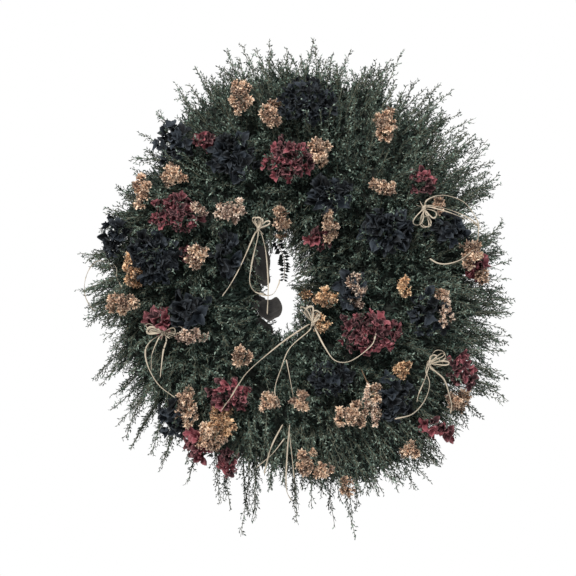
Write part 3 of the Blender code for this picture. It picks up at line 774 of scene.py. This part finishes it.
def add_rosette(heap, rng, x, z, width, height, tilt, petal):
    """An open bloom of long pointed petals in three whorls."""
    level = front_at(x, z, 95)
    for count, ring, rise, share in WHORLS:
        phase = 2 * math.pi * (np.arange(count) + rng.uniform(0, 1.2, count)) / count
        dx, dz = turned(ring * np.cos(phase) * width / 2, ring * np.sin(phase) * height / 2, tilt)
        at = places((x + a * 0.55, z + b * 0.55, level - 2 - 7 * ring) for a, b in zip(dx, dz))
        out = np.stack([dx, np.zeros(count), dz], axis=1) * 0.05
        out = unit(out + 0.28 * rng.normal(size=(count, 3)))
        axis = across(out, FRONT)
        length = petal * share * MM * rng.uniform(0.85, 1.2, count) * (width + height) / 120
        wide = length * rng.uniform(0.45, 0.66, count)
        open_angle = np.radians(rng.uniform(*rise, count))
        curl = np.radians(rng.uniform(-80, 30, count))
        tone = rng.uniform(0.0, 1.0, count)
        add_petals(heap, rng, at, axis, out, length, wide, open_angle, curl, 0.085, tone, 0.45, 8, 7)


def add_head(heap, rng, x, z, width, height, dome, tilt, sepal):
    """A round head of florets of four sepals each, sepal mm long."""
    width, height = width - 0.9 * sepal, height - 0.9 * sepal
    count = max(9, int(width * height * DISC / (sepal * sepal * 0.62)))
    at, axis = head_points(rng, count, x, z, width, height, dome, tilt)
    at = at - FRONT * rng.uniform(-2, 6, count)[:, None] * MM
    size = sepal * MM * rng.uniform(0.8, 1.15, count)
    tone = rng.uniform(0.0, 1.0, count)
    add_florets(heap, rng, at, axis, 4, size, tone, (8, 70), 0.76, 0.10, 0.1, 5, 5)


def box_middle(name):
    """The middle of a CAD node in the view and its width and height, in mm."""
    low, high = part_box(name)
    x, z = (low.x + high.x) / 2 / MM, ((low.z + high.z) / 2 - AXIS_Z) / MM
    return x, z, (high.x - low.x) / MM, (high.z - low.z) / MM


HEAD_FORMS = {
    # the bloom's form, its sepals' length in mm and its turn in the view in degrees
    "navy_hydrangea_upper_left": ("rosette", 19, 0),
    "navy_hydrangea_upper_right": ("rosette", 22, 0),
    "navy_hydrangea_right": ("rosette", 19, 0),
    "navy_hydrangea_left": ("rosette", 21, 0),
    "navy_hydrangea_lower_right": ("cluster", 12, 0),
    "burgundy_hydrangea_lower_right": ("cluster", 9.5, 34),
}

# These heads are drawn smaller than their CAD solids by so much.
HEAD_SHARES = {"burgundy_hydrangea_right": 0.87, "burgundy_hydrangea_left": 0.88}

EXTRA_BLOOMS = {
    # angle in degrees, radius, width, height, dome, turn in degrees, sepal length
    "navy": (
        (20, 194, 54, 44, 8, 0, 11.5), (-47, 177, 56, 58, 8, 0, 12), (-130, 200, 44, 50, 6, 0, 11),
        (168.5, 159, 62, 62, 8, 0, 11), (164, 211, 38, 56, 6, 0, 10), (153, 76, 38, 58, 6, 0, 15),
        (128.5, 211, 50, 50, 8, 0, 11), (-4, 72, 28, 46, 5, 0, 14), (194, 120, 48, 42, 7, 0, 16),
    ),
    "burgundy": (
        (240.5, 207, 30, 42, 12, 20, 12), (56, 65, 32, 26, 4, 0, 10), (195.5, 152, 32, 30, 7, 0, 13),
        (120, 192, 26, 22, 4, 0, 9), (251, 212, 22, 34, 5, 0, 10), (-43.5, 240, 46, 28, 6, -18, 11),
        (5.5, 222, 30, 34, 5, 0, 11), (161, 118, 20, 22, 4, 0, 10),
    ),
}


def make_blooms():
    rng = np.random.default_rng(23)
    for name in HEADS:
        colour = name.split("_")[0]
        share = HEAD_SHARES.get(name, 1)
        x, z, width, height = box_middle(name)
        width, height = width * share, height * share
        form, sepal, tilt = HEAD_FORMS.get(name, ("cluster", 8.2, 0))
        heap = Heap()
        if form == "rosette":
            add_rosette(heap, rng, x, z, width, height, tilt, sepal)
            add_head(heap, rng, x, z, width * 0.95, height * 0.95, 1, tilt, 12)
        else:
            add_head(heap, rng, x, z, width, height, 7, tilt, sepal)
        new_name = name.replace("hydrangea", "hydrangea_bloom")
        heap.build(new_name, [petals[colour + "_sepal"]], colour + "_petal", name)
    for colour, blooms in EXTRA_BLOOMS.items():
        for number, (angle, radius, *form) in enumerate(blooms, 1):
            heap = Heap()
            add_head(heap, rng, *polar(angle, radius), *form)
            heap.build(f"{colour}_bloom_{number}", [petals[colour + "_sepal"]], colour + "_petal")


DRY_LEAVES = (
    # each dry leaf's foot x, z and depth, its tip's x, z and depth, and its width, in mm
    ((-36, -30, 74), (-7, -24, 70), 28),
    ((-34, 48, 76), (-27, 0, 68), 20),
    ((-50, 30, 70), (-23, 20, 62), 24),
    ((-48, -8, 60), (-29, -28, 66), 20),
    ((-36, -38, 70), (-19, -58, 62), 15),
    ((-52, 12, 66), (-33, -6, 58), 20),
    ((-46, 56, 64), (-24, 40, 60), 16),
)
LEAF_ROWS = 17
LEAF_COLUMNS = 9


def make_dry_leaves():
    """Dark broad leaves that line the hole, oval and slightly bowed."""
    rng = np.random.default_rng(29)
    heap = Heap()
    turn = np.linspace(0, math.pi, LEAF_ROWS)
    v = (1 - np.cos(turn)) / 2
    u = np.linspace(-1, 1, LEAF_COLUMNS)
    form = np.maximum(np.sin(turn), 0.04)
    for foot, tip, width in DRY_LEAVES:
        start, end = place(*foot), place(*tip)
        out = unit(end - start)
        axis = across(out, FRONT + 0.25 * rng.normal(size=3))
        side = np.cross(axis, out)
        bow = 1.5 * np.sin(turn)[:, None] + 1.6 * np.abs(u)[None] ** 2 * form[:, None]
        ripple = 0.5 * np.sin(6 * v[:, None] + 3 * u[None] + rng.uniform(0, 6)) * form[:, None]
        phase = rng.uniform(0, 6.28, 2)
        wavy = 1 + 0.11 * np.sin(2.5 * turn + phase[0]) + 0.07 * np.sin(6 * turn + phase[1])
        half = form * wavy * width / 2
        points = (
            start
            + v[:, None, None] * (end - start)
            + (half[:, None] * (u[None] + 0.12 * np.sin(3 * turn + phase[1])[:, None]))[..., None] * side * MM
            + (bow + ripple)[..., None] * axis * MM
        )
        marks = marked(points, u, v[:, None], rng.uniform(0, 50))
        heap.add(points[None], petal_faces(LEAF_ROWS, LEAF_COLUMNS), rng.uniform(0.2, 0.7), marks)
    heap.build("dry_leaves", [petals["dry_leaf"]], "evergreen")


FROND = ((-14, 53, 68), (-8, 42, 67), (-4, 28, 67), (-5, 8, 69))


def make_frond():
    """A fern-like frond that hangs across the top of the hole."""
    rng = np.random.default_rng(31)
    heap = Heap()
    line = places(smooth_route(FROND, 3.6))
    add_stalk(heap, rng, line, 0.5, 0.4, 5)
    along = unit(np.gradient(line, axis=0))
    side = across(along, FRONT)
    wide = np.cross(along, side)
    taper = 1 - 0.45 * np.linspace(0, 1, len(line)) ** 2
    for hand in (-1, 1):
        way = unit(hand * wide + 0.30 * along + 0.16 * rng.normal(size=line.shape))
        length = 9.5 * MM * taper * rng.uniform(0.75, 1.15, len(line))
        flat = np.cross(way, across(way, side + 0.2 * rng.normal(size=line.shape)))
        add_leaflets(heap, line, way, flat, length, length * 0.50, rng.uniform(0.0, 0.3, len(line)))
    heap.build("hole_frond", [petals["frond_leaf"], stems["woody_stem"]], "evergreen", smooth=False)


EXTRA_SPRAYS = (
    # angle, radius, width, height of each small floret cluster
    (96, 198, 24, 36), (77, 158, 27, 33), (136, 182, 34, 26), (147, 200, 20, 44), (46, 157, 34, 17),
    (127, 108, 40, 27), (96, 78, 20, 38), (55, 83, 17, 44), (162, 108, 24, 28), (174, 179, 22, 50),
    (207, 124, 36, 16), (230, 180, 22, 50), (244, 171, 34, 38), (261, 135, 22, 24), (-17.6, 45, 28, 25),
    (-52, 161, 12, 38), (-2, 79, 20, 42), (-1.5, 131, 15, 24), (-3, 176, 14, 12), (-36, 163, 20, 24),
    (-34, 241, 40, 22), (-53, 236, 28, 17), (-84.5, 201, 22, 32), (28, 195, 14, 17), (3, 226, 16, 22),
    (-22, 22, 13, 14), (-46.5, 58, 22, 20), (139.5, 134, 15, 13), (-74, 243, 15, 28), (-80, 214, 26, 18),
)


# The numbers of the extra clusters that are more orange or more pink than peach.
AMBER = (10, 13, 15, 18, 20, 26, 27)
BLUSH = (6, 11, 17, 28)
LUMP_RADIUS = 5.0
LUMP_FLORETS = 9


def add_spray(heap, rng, x, z, width, height):
    """A cluster of small papery florets, gathered in round lumps on brown stalks."""
    lumps = max(3, int(width * height * DISC / 85))
    middles, axes = head_points(rng, lumps, x, z, width - 8, height - 8, 5, 0)
    middles = middles + FRONT * rng.uniform(-4, 5, lumps)[:, None] * MM
    count = LUMP_FLORETS * lumps
    cup = np.repeat(middles, LUMP_FLORETS, axis=0)
    way = unit(rng.normal(size=(count, 3)) + 1.15 * np.repeat(axes, LUMP_FLORETS, axis=0))
    at = cup + way * LUMP_RADIUS * rng.uniform(0.35, 0.95, count)[:, None] * MM
    size = rng.uniform(3.8, 6.4, count) * MM
    tone = np.repeat(rng.uniform(0.2, 0.85, lumps), LUMP_FLORETS) + rng.normal(0, 0.2, count)
    tone = np.clip(tone, 0, 1)
    add_florets(heap, rng, at, way, 6, size, tone, (10, 75), 0.44, 0.18, 0.7, 4, 3)
    heart = at + way * 0.7 * MM
    add_florets(heap, rng, heart, way, 3, size * 0.6, tone * 0.5, (45, 80), 0.8, 0.12, 0.1, 4, 3)
    root = place(x * 0.985, z * 0.985, front_at(x, z, 90) - 24)
    t = np.broadcast_to(np.linspace(0, 1, 5), (lumps, 5))
    control = (root + middles) / 2 - axes * 6 * MM
    lines = bezier(np.broadcast_to(root, (lumps, 1, 3)), control[:, None], middles[:, None], t)
    add_tubes(heap, rng, lines, np.full((lumps, 5), 0.7 * MM), rng.uniform(0, 1, lumps), 1, sides=5)
    reach = np.linalg.norm(at - cup, axis=1) + 1.0 * MM
    add_leaflets(heap, cup, way, across(way, rng.normal(size=way.shape)), reach, reach * 0.5, tone, 1)


def make_sprays():
    rng = np.random.default_rng(37)
    stalk = stems["brown_stalk"]
    for name in SPRAYS:
        heap = Heap()
        add_spray(heap, rng, *box_middle(name))
        heap.build(name.replace("spray", "florets"), [petals["peach_floret"], stalk], "peach_statice", name)
    for number, (angle, radius, width, height) in enumerate(EXTRA_SPRAYS, 1):
        heap = Heap()
        add_spray(heap, rng, *polar(angle, radius), width, height)
        tint = "amber" if number in AMBER else "blush" if number in BLUSH else "peach"
        heap.build(f"statice_cluster_{number:02d}", [petals[tint + "_floret"], stalk], "peach_statice")


DROOPING = (
    # x, z and how far in front of the foliage in mm, of each hanging string of buds
    ((155, -4, 2), (168, -3, 6), (178, -12, 7), (181, -27, 7), (186, -37, 6)),
    ((178, -12, 7), (175, -24, 8), (174, -33, 7), (177, -43, 6)),
    ((90, -108, 2), (97, -122, 6), (98, -140, 7), (100, -158, 6)),
    ((84, -96, 2), (90, -112, 7), (89, -126, 7), (92, -138, 5)),
)


def make_bud_strings():
    """Arching stalks that carry small pale buds along their lower part."""
    rng = np.random.default_rng(39)
    for number, knots in enumerate(DROOPING, 1):
        heap = Heap()
        knots = [(x, z, front_at(x, z, 90) + proud) for x, z, proud in knots]
        line = places(smooth_route(knots, 1.8))
        add_stalk(heap, rng, line, 0.7, 0.5, 6)
        buds = np.repeat(line[int(len(line) * 0.45):], 2, axis=0)
        way = unit(rng.normal(size=buds.shape) + 0.6 * FRONT)
        at = buds + way * rng.uniform(0.8, 2.2, len(buds))[:, None] * MM
        size = rng.uniform(3.0, 4.6, len(buds)) * MM
        tone = rng.uniform(0.3, 1.0, len(buds))
        add_florets(heap, rng, at, way, 5, size, tone, (30, 75), 0.6, 0.1, 0.4, 4, 3)
        heap.build(f"bud_string_{number}", [petals["blush_floret"], stems["brown_stalk"]], "peach_statice")


# ---- raffia

RIBS = 12


def add_strand(heap, rng, line, width, flat=0.5, twist=2.2):
    """A ribbon of raffia along a line in metres: flattened, ribbed lengthways and slowly twisting."""
    along = unit(np.gradient(line, axis=0))
    side = across(along, np.array([0.3, 0.0, 1.0]))
    steps = np.linalg.norm(np.diff(line, axis=0), axis=1)
    run = np.concatenate([[0], np.cumsum(steps)])
    turn = rng.uniform(0, 6.28) + twist * run / 0.06 + 0.25 * np.sin(run / 0.011 + rng.uniform(0, 6))
    other = np.cross(along, side)
    wide = side * np.cos(turn)[:, None] + other * np.sin(turn)[:, None]
    thin = np.cross(along, wide)
    phase = 2 * math.pi * np.arange(RIBS) / RIBS
    rib = 1 - 0.14 * (np.arange(RIBS) % 2)
    swell = 1 + 0.10 * np.sin(run / 0.007 + rng.uniform(0, 6))
    pinch = np.minimum(1, 0.35 + np.minimum(run, run[-1] - run) / (2.5 * MM))
    half = width / 2 * MM * (swell * pinch)[:, None]
    points = (
        line[:, None]
        + wide[:, None] * (half * np.cos(phase) * rib)[..., None]
        + thin[:, None] * (half * np.sin(phase) * rib * flat)[..., None]
    )
    marks = marked(points, run[:, None] / MM, np.arange(RIBS), rng.uniform(0, 50))
    heap.add(points[None], tube_faces(len(line), RIBS), rng.uniform(0.2, 0.9), marks)


def lead_in(knots):
    """The route with one more point ahead of it, at the edge of the bow's knot that it comes from, if any."""
    first = np.array(knots[0], float)
    knot = min((np.array(bow[:3]) for bow in BOWS.values()), key=lambda at: np.linalg.norm(at - first))
    gap = float(np.linalg.norm(knot - first))
    if gap > LEAD_REACH:
        return knots
    return (tuple(knot + (first - knot) * min(0.9, KNOT_RADIUS / gap)), *knots)


def make_tails():
    rng = np.random.default_rng(41)
    for name, knots in {**TAILS, **LOOSE_STRANDS}.items():
        fixed = name in TAILS
        diameter = STRAND if fixed else LOOSE_STRAND
        line = places(smooth_route(lead_in(knots), 1.6))
        heap = Heap()
        add_strand(heap, rng, line, 0.75 * diameter)
        node = "raffia_tail_" + name if fixed else None
        piece = heap.build("raffia_strand_" + name, [raffia], "raffia", node)


BOWS = {
    # knot's x, z and depth in mm, and each loop's direction in degrees and length in mm
    "top": (-33.9, 65.5, 105, ((58, 20), (100, 15))),
    "right": (154, 88, 114, ((262, 20), (306, 16))),
    "left": (-141, -52.5, 115, ((172, 20), (8, 20))),
    "centre": (28.8, -43.2, 99, ((128, 26), (84, 15))),
    "lower_right": (160.5, -88.1, 112, ((19, 21), (48, 18))),
}


def add_bow(heap, rng, x, z, depth, loops):
    """Loose, uneven loops of raffia and two short ends, held by a few turns of the same strand."""
    for direction, length in loops:
        for layer in range(3):
            turn = math.radians(direction + rng.uniform(-20, 20))
            reach = length * rng.uniform(0.55, 1.12)
            half = reach * rng.uniform(0.10, 0.30)
            t = np.linspace(0, 1, 40)
            out = reach * np.sin(np.pi * t) ** rng.uniform(0.65, 0.95)
            skew = rng.uniform(-3.5, 3.5) * np.sin(np.pi * t) + rng.uniform(-1, 1) * np.sin(3 * np.pi * t)
            aside = half * np.sin(2 * np.pi * t) + skew
            lift = (1.0 + 2.6 * layer) * np.sin(np.pi * t) + 2.0 * t + 1.5
            px = x + out * math.cos(turn) - aside * math.sin(turn)
            pz = z + out * math.sin(turn) + aside * math.cos(turn)
            line = places(zip(px, pz, depth + lift))
            add_strand(heap, rng, line, rng.uniform(1.2, 2.6), rng.uniform(0.22, 0.5), rng.uniform(-3, 3))
    for _ in range(2):
        turn = math.radians(loops[0][0] + rng.uniform(70, 290))
        reach = np.linspace(0, rng.uniform(7, 11), 14)
        bend = rng.uniform(-0.05, 0.05)
        px = x + reach * math.cos(turn) - bend * reach**2 * math.sin(turn)
        pz = z + reach * math.sin(turn) + bend * reach**2 * math.cos(turn)
        add_strand(heap, rng, places(zip(px, pz, depth + 3 + 0.15 * reach)), 1.3, 0.4)
    for wrap in range(3):
        t = np.linspace(0, 2 * math.pi, 22)
        shift = (wrap - 1) * 1.5
        px = x + shift + 0.6 * np.sin(t)
        pz = z + 3.2 * np.sin(t) + 0.7 * wrap - 0.8
        add_strand(heap, rng, places(zip(px, pz, depth + 2 + 3.4 * np.cos(t))), 1.8)


def make_bows():
    rng = np.random.default_rng(43)
    for name, (x, z, depth, loops) in BOWS.items():
        heap = Heap()
        add_bow(heap, rng, x, z, depth, loops)
        heap.build("raffia_knot_" + name, [raffia], "raffia", "raffia_bow_" + name)


# ---- materials


class Nodes:
    """A material and short ways to add and join its nodes. Each way gives back the new node's output."""

    def __init__(self, name, roughness):
        self.material = bpy.data.materials.new(name)
        self.material.use_nodes = True
        self.tree = self.material.node_tree
        self.shader = self.tree.nodes["Principled BSDF"]
        self.feed(self.shader, {"Roughness": roughness})

    def feed(self, node, inputs):
        """Joins each input to an output, or sets it to a value."""
        for key, value in inputs.items():
            if isinstance(value, bpy.types.NodeSocket):
                self.tree.links.new(value, node.inputs[key])
            else:
                node.inputs[key].default_value = value

    def node(self, kind, output, inputs=None, **settings):
        made = self.tree.nodes.new("ShaderNode" + kind)
        for key, value in settings.items():
            setattr(made, key, value)
        self.feed(made, inputs or {})
        return made.outputs[output]

    def tone(self):
        return self.node("Attribute", "Fac", attribute_name="tone")

    def mark(self):
        return self.node("Attribute", "Vector", attribute_name="mark")

    def mapped(self, source, scale):
        return self.node("Mapping", "Vector", {"Vector": source, "Scale": scale})

    def place(self):
        return self.node("TexCoord", "Object")

    def part(self, source, axis):
        return self.node("SeparateXYZ", axis, {"Vector": source})

    def noise(self, vector, scale, detail=3.0, roughness=0.6):
        inputs = {"Vector": vector, "Scale": scale, "Detail": detail, "Roughness": roughness}
        return self.node("TexNoise", "Fac", inputs)

    def math(self, operation, *values):
        return self.node("Math", "Value", dict(enumerate(values)), operation=operation)

    def add(self, a, b):
        return self.math("ADD", a, b)

    def times(self, a, b):
        return self.math("MULTIPLY", a, b)

    def ramp(self, source, *stops):
        colour = self.node("ValToRGB", "Color", {"Fac": source})
        elements = colour.node.color_ramp.elements
        while len(elements) < len(stops):
            elements.new(0.5)
        for element, (position, tint) in zip(elements, stops):
            element.position = position
            element.color = (*tint, 1)
        return colour

    def mix(self, share, a, b):
        return self.node("Mix", 2, {0: share, 6: a, 7: b}, data_type="RGBA")

    def bump(self, height, distance):
        return self.node("Bump", "Normal", {"Height": height, "Distance": distance, "Strength": 1.0})

    def finish(self, colour, fine, low, high, relief, **others):
        """Joins up the shader. fine gives its roughness, from low to high, and its relief in metres."""
        rough = self.node("MapRange", "Result", {"Value": fine, "To Min": low, "To Max": high})
        inputs = {"Base Color": colour, "Roughness": rough, "Normal": self.bump(fine, relief)}
        self.feed(self.shader, inputs | {key.replace("_", " "): value for key, value in others.items()})
        return self.material


def leaf_material():
    m = Nodes("evergreen_leaf", 0.55)
    patches = m.noise(m.place(), 38.0)
    fine = m.noise(m.place(), 420.0, 2.0)
    shade = m.add(m.tone(), m.times(m.math("SUBTRACT", patches, 0.5), 0.9))
    dark, green = (0.009, 0.016, 0.012), (0.033, 0.063, 0.050)
    # painted highlights: the grey and pale stops colour mainly the leaves made pale in add_plumes
    grey, pale = (0.130, 0.198, 0.156), (0.360, 0.455, 0.375)
    colour = m.ramp(shade, (0.0, dark), (0.35, green), (0.7, grey), (1.0, pale))
    colour = m.mix(m.times(fine, 0.5), colour, (0.045, 0.050, 0.040, 1))
    return m.finish(colour, fine, 0.5, 0.8, 0.0003, Specular_IOR_Level=0.3)


def stem_material(name, dark, light):
    m = Nodes(name, 0.7)
    streaks = m.noise(m.mapped(m.mark(), (3, 1, 1)), 5.0)
    rough = m.noise(m.place(), 600.0)
    colour = m.mix(m.times(m.add(streaks, rough), 0.5), (*dark, 1), (*light, 1))
    return m.finish(colour, rough, 0.55, 0.85, 0.0003)


def petal_material(name, dark, middle, light, edge):
    """A papery petal: streaked along its veins, blotched, paler along its edge, and darkened towards its foot
    as painted shade.
    """
    m = Nodes(name, 0.7)
    mark = m.mark()
    across_petal, along_petal = m.part(mark, "X"), m.part(mark, "Y")
    veins = m.noise(m.mapped(mark, (5.0, 0.8, 1.0)), 1.0, 4.0, 0.7)
    blotch = m.noise(m.place(), 95.0)
    shade = m.add(m.add(veins, m.times(blotch, 0.6)), m.times(m.tone(), 0.9))
    # painted shade: the along_petal term darkens each petal towards its foot, where the petals overlap
    shade = m.math("SUBTRACT", m.add(shade, m.times(along_petal, 0.4)), 1.0)
    colour = m.ramp(shade, (0.26, dark), (0.53, middle), (0.80, light))
    rim = m.math("POWER", m.math("MAXIMUM", m.math("ABSOLUTE", across_petal), along_petal), 5.0)
    colour = m.mix(m.times(rim, m.times(blotch, 1.1)), colour, (*edge, 1))
    sheen = {"Sheen_Weight": 0.03, "Sheen_Roughness": 0.5}
    return m.finish(colour, veins, 0.55, 0.9, 0.0006, Specular_IOR_Level=0.2, **sheen)


def raffia_material():
    m = Nodes("raffia_straw", 0.6)
    fibre = m.noise(m.mapped(m.mark(), (0.03, 1.7, 1.0)), 1.0, 4.0, 0.65)
    stain = m.noise(m.place(), 60.0)
    brown, straw, pale = (0.26, 0.20, 0.140), (0.52, 0.44, 0.34), (0.76, 0.70, 0.59)
    colour = m.ramp(fibre, (0.25, brown), (0.5, straw), (0.78, pale))
    colour = m.mix(m.times(stain, 0.35), colour, (0.42, 0.33, 0.22, 1))
    return m.finish(colour, fibre, 0.42, 0.7, 0.0004)


def wire_material(name, dark, light, metallic, roughness):
    m = Nodes(name, roughness)
    wear = m.noise(m.place(), 210.0, 5.0)
    fine = m.noise(m.place(), 900.0, 2.0)
    colour = m.ramp(wear, (0.35, dark), (0.72, light))
    return m.finish(colour, fine, roughness - 0.12, roughness + 0.18, 0.00015, Metallic=metallic)


def core_material():
    m = Nodes("inner_shade", 0.9)
    lumps = m.noise(m.place(), 130.0, 5.0)
    # painted shade: near black, the shade deep inside the foliage
    colour = m.ramp(lumps, (0.35, (0.006, 0.009, 0.007)), (0.7, (0.020, 0.026, 0.018)))
    m.feed(m.shader, {"Base Color": colour, "Normal": m.bump(lumps, 0.004)})
    return m.material


# ---- stage and light

LAMPS = (
    # name, place, size and power of each soft lamp, and its colour
    ("key", (-0.55, -1.3, 0.95), 0.35, 34, (1.0, 0.985, 0.96)),
    ("fill", (1.3, -1.4, 0.2), 1.0, 10, (0.93, 0.97, 1.0)),
    ("back", (-0.9, 1.7, 0.5), 1.2, 7, (0.97, 0.98, 1.0)),
)


def add_floor():
    level = cad_box[0].z - 0.75
    corners = [(-6, -5, level), (6, -5, level), (6, 1.5, level), (-6, 1.5, level)]
    mesh = bpy.data.meshes.new("floor")
    mesh.from_pydata(corners, [], [[0, 1, 2, 3]])
    floor = linked("floor", mesh)
    m = Nodes("floor_finish", 0.9)
    colour = m.mix(m.noise(m.place(), 3.0), (0.90, 0.90, 0.90, 1), (0.93, 0.93, 0.93, 1))
    m.feed(m.shader, {"Base Color": colour})
    mesh.materials.append(m.material)


def add_lamps():
    middle = Vector((0, middle_depth, AXIS_Z))
    for name, spot, size, power, colour in LAMPS:
        data = bpy.data.lights.new(name, "AREA")
        data.shape = "DISK"
        data.size = size
        data.energy = power
        data.color = colour
        lamp = linked(name, data)
        lamp.location = spot
        lamp.rotation_euler = (middle - Vector(spot)).to_track_quat("-Z", "Y").to_euler()


def add_world():
    """Soft light all round, seen as plain white."""
    world = bpy.data.worlds.new("studio")
    bpy.context.scene.world = world
    world.use_nodes = True
    tree = world.node_tree
    soft = tree.nodes["Background"]
    soft.inputs["Color"].default_value = (0.95, 0.98, 1.0, 1)
    soft.inputs["Strength"].default_value = 0.42
    white = tree.nodes.new("ShaderNodeBackground")
    white.inputs["Color"].default_value = (1.0, 1.0, 1.0, 1)
    seen = tree.nodes.new("ShaderNodeLightPath")
    mix = tree.nodes.new("ShaderNodeMixShader")
    tree.links.new(seen.outputs["Is Camera Ray"], mix.inputs["Fac"])
    tree.links.new(soft.outputs["Background"], mix.inputs[1])
    tree.links.new(white.outputs["Background"], mix.inputs[2])
    tree.links.new(mix.outputs["Shader"], tree.nodes["World Output"].inputs["Surface"])
    scene = bpy.context.scene
    scene.view_settings.view_transform = "Standard"
    scene.view_settings.look = "None"


# ---- the whole

STEM_TONES = {
    # dark and light
    "green_stem": ((0.035, 0.04, 0.026), (0.18, 0.18, 0.125)),
    "woody_stem": ((0.06, 0.045, 0.03), (0.17, 0.13, 0.085)),
    "brown_stalk": ((0.07, 0.038, 0.02), (0.2, 0.12, 0.065)),
}
PETAL_TONES = {
    # dark, middle, light and the paler edge
    "frond_leaf": ((0.004, 0.006, 0.005), (0.012, 0.016, 0.012), (0.03, 0.036, 0.028), (0.04, 0.045, 0.036)),
    "burgundy_sepal": (
        (0.014, 0.003, 0.005), (0.082, 0.013, 0.02), (0.28, 0.068, 0.084), (0.5, 0.245, 0.255)
    ),
    "navy_sepal": ((0.0015, 0.002, 0.003), (0.005, 0.007, 0.01), (0.023, 0.03, 0.04), (0.085, 0.098, 0.112)),
    "dry_leaf": ((0.01, 0.009, 0.009), (0.032, 0.03, 0.029), (0.06, 0.056, 0.052), (0.075, 0.068, 0.06)),
    "peach_floret": ((0.13, 0.055, 0.03), (0.66, 0.37, 0.225), (0.99, 0.74, 0.53), (0.97, 0.83, 0.68)),
    "amber_floret": ((0.14, 0.05, 0.02), (0.66, 0.32, 0.14), (0.99, 0.67, 0.39), (0.97, 0.79, 0.58)),
    "blush_floret": ((0.14, 0.055, 0.035), (0.66, 0.41, 0.28), (0.99, 0.8, 0.64), (0.97, 0.87, 0.77)),
}


def paint_frame(coated, bare):
    """Gives the wire frame, the hanger and the binding wire their finishes."""
    for name, node in nodes.items():
        if name.startswith("frame_"):
            node.material_slots[0].material = coated
        if name in ("paddle_wire", "wire_hanger"):
            node.material_slots[0].material = bare


leaf = leaf_material()
stems = {name: stem_material(name, *tones) for name, tones in STEM_TONES.items()}
petals = {name: petal_material(name, *tones) for name, tones in PETAL_TONES.items()}
raffia = raffia_material()

make_tails()
make_bows()
make_core(core_material(), leaf)
make_foliage([leaf, stems["green_stem"], stems["woody_stem"]])
make_blooms()
make_sprays()
make_bud_strings()
make_dry_leaves()
make_frond()
paint_frame(
    wire_material("green_coated_wire", (0.006, 0.016, 0.009), (0.016, 0.040, 0.022), 0.25, 0.42),
    wire_material("dark_steel_wire", (0.030, 0.030, 0.030), (0.085, 0.075, 0.065), 0.9, 0.42),
)
add_floor()
add_world()
add_lamps()
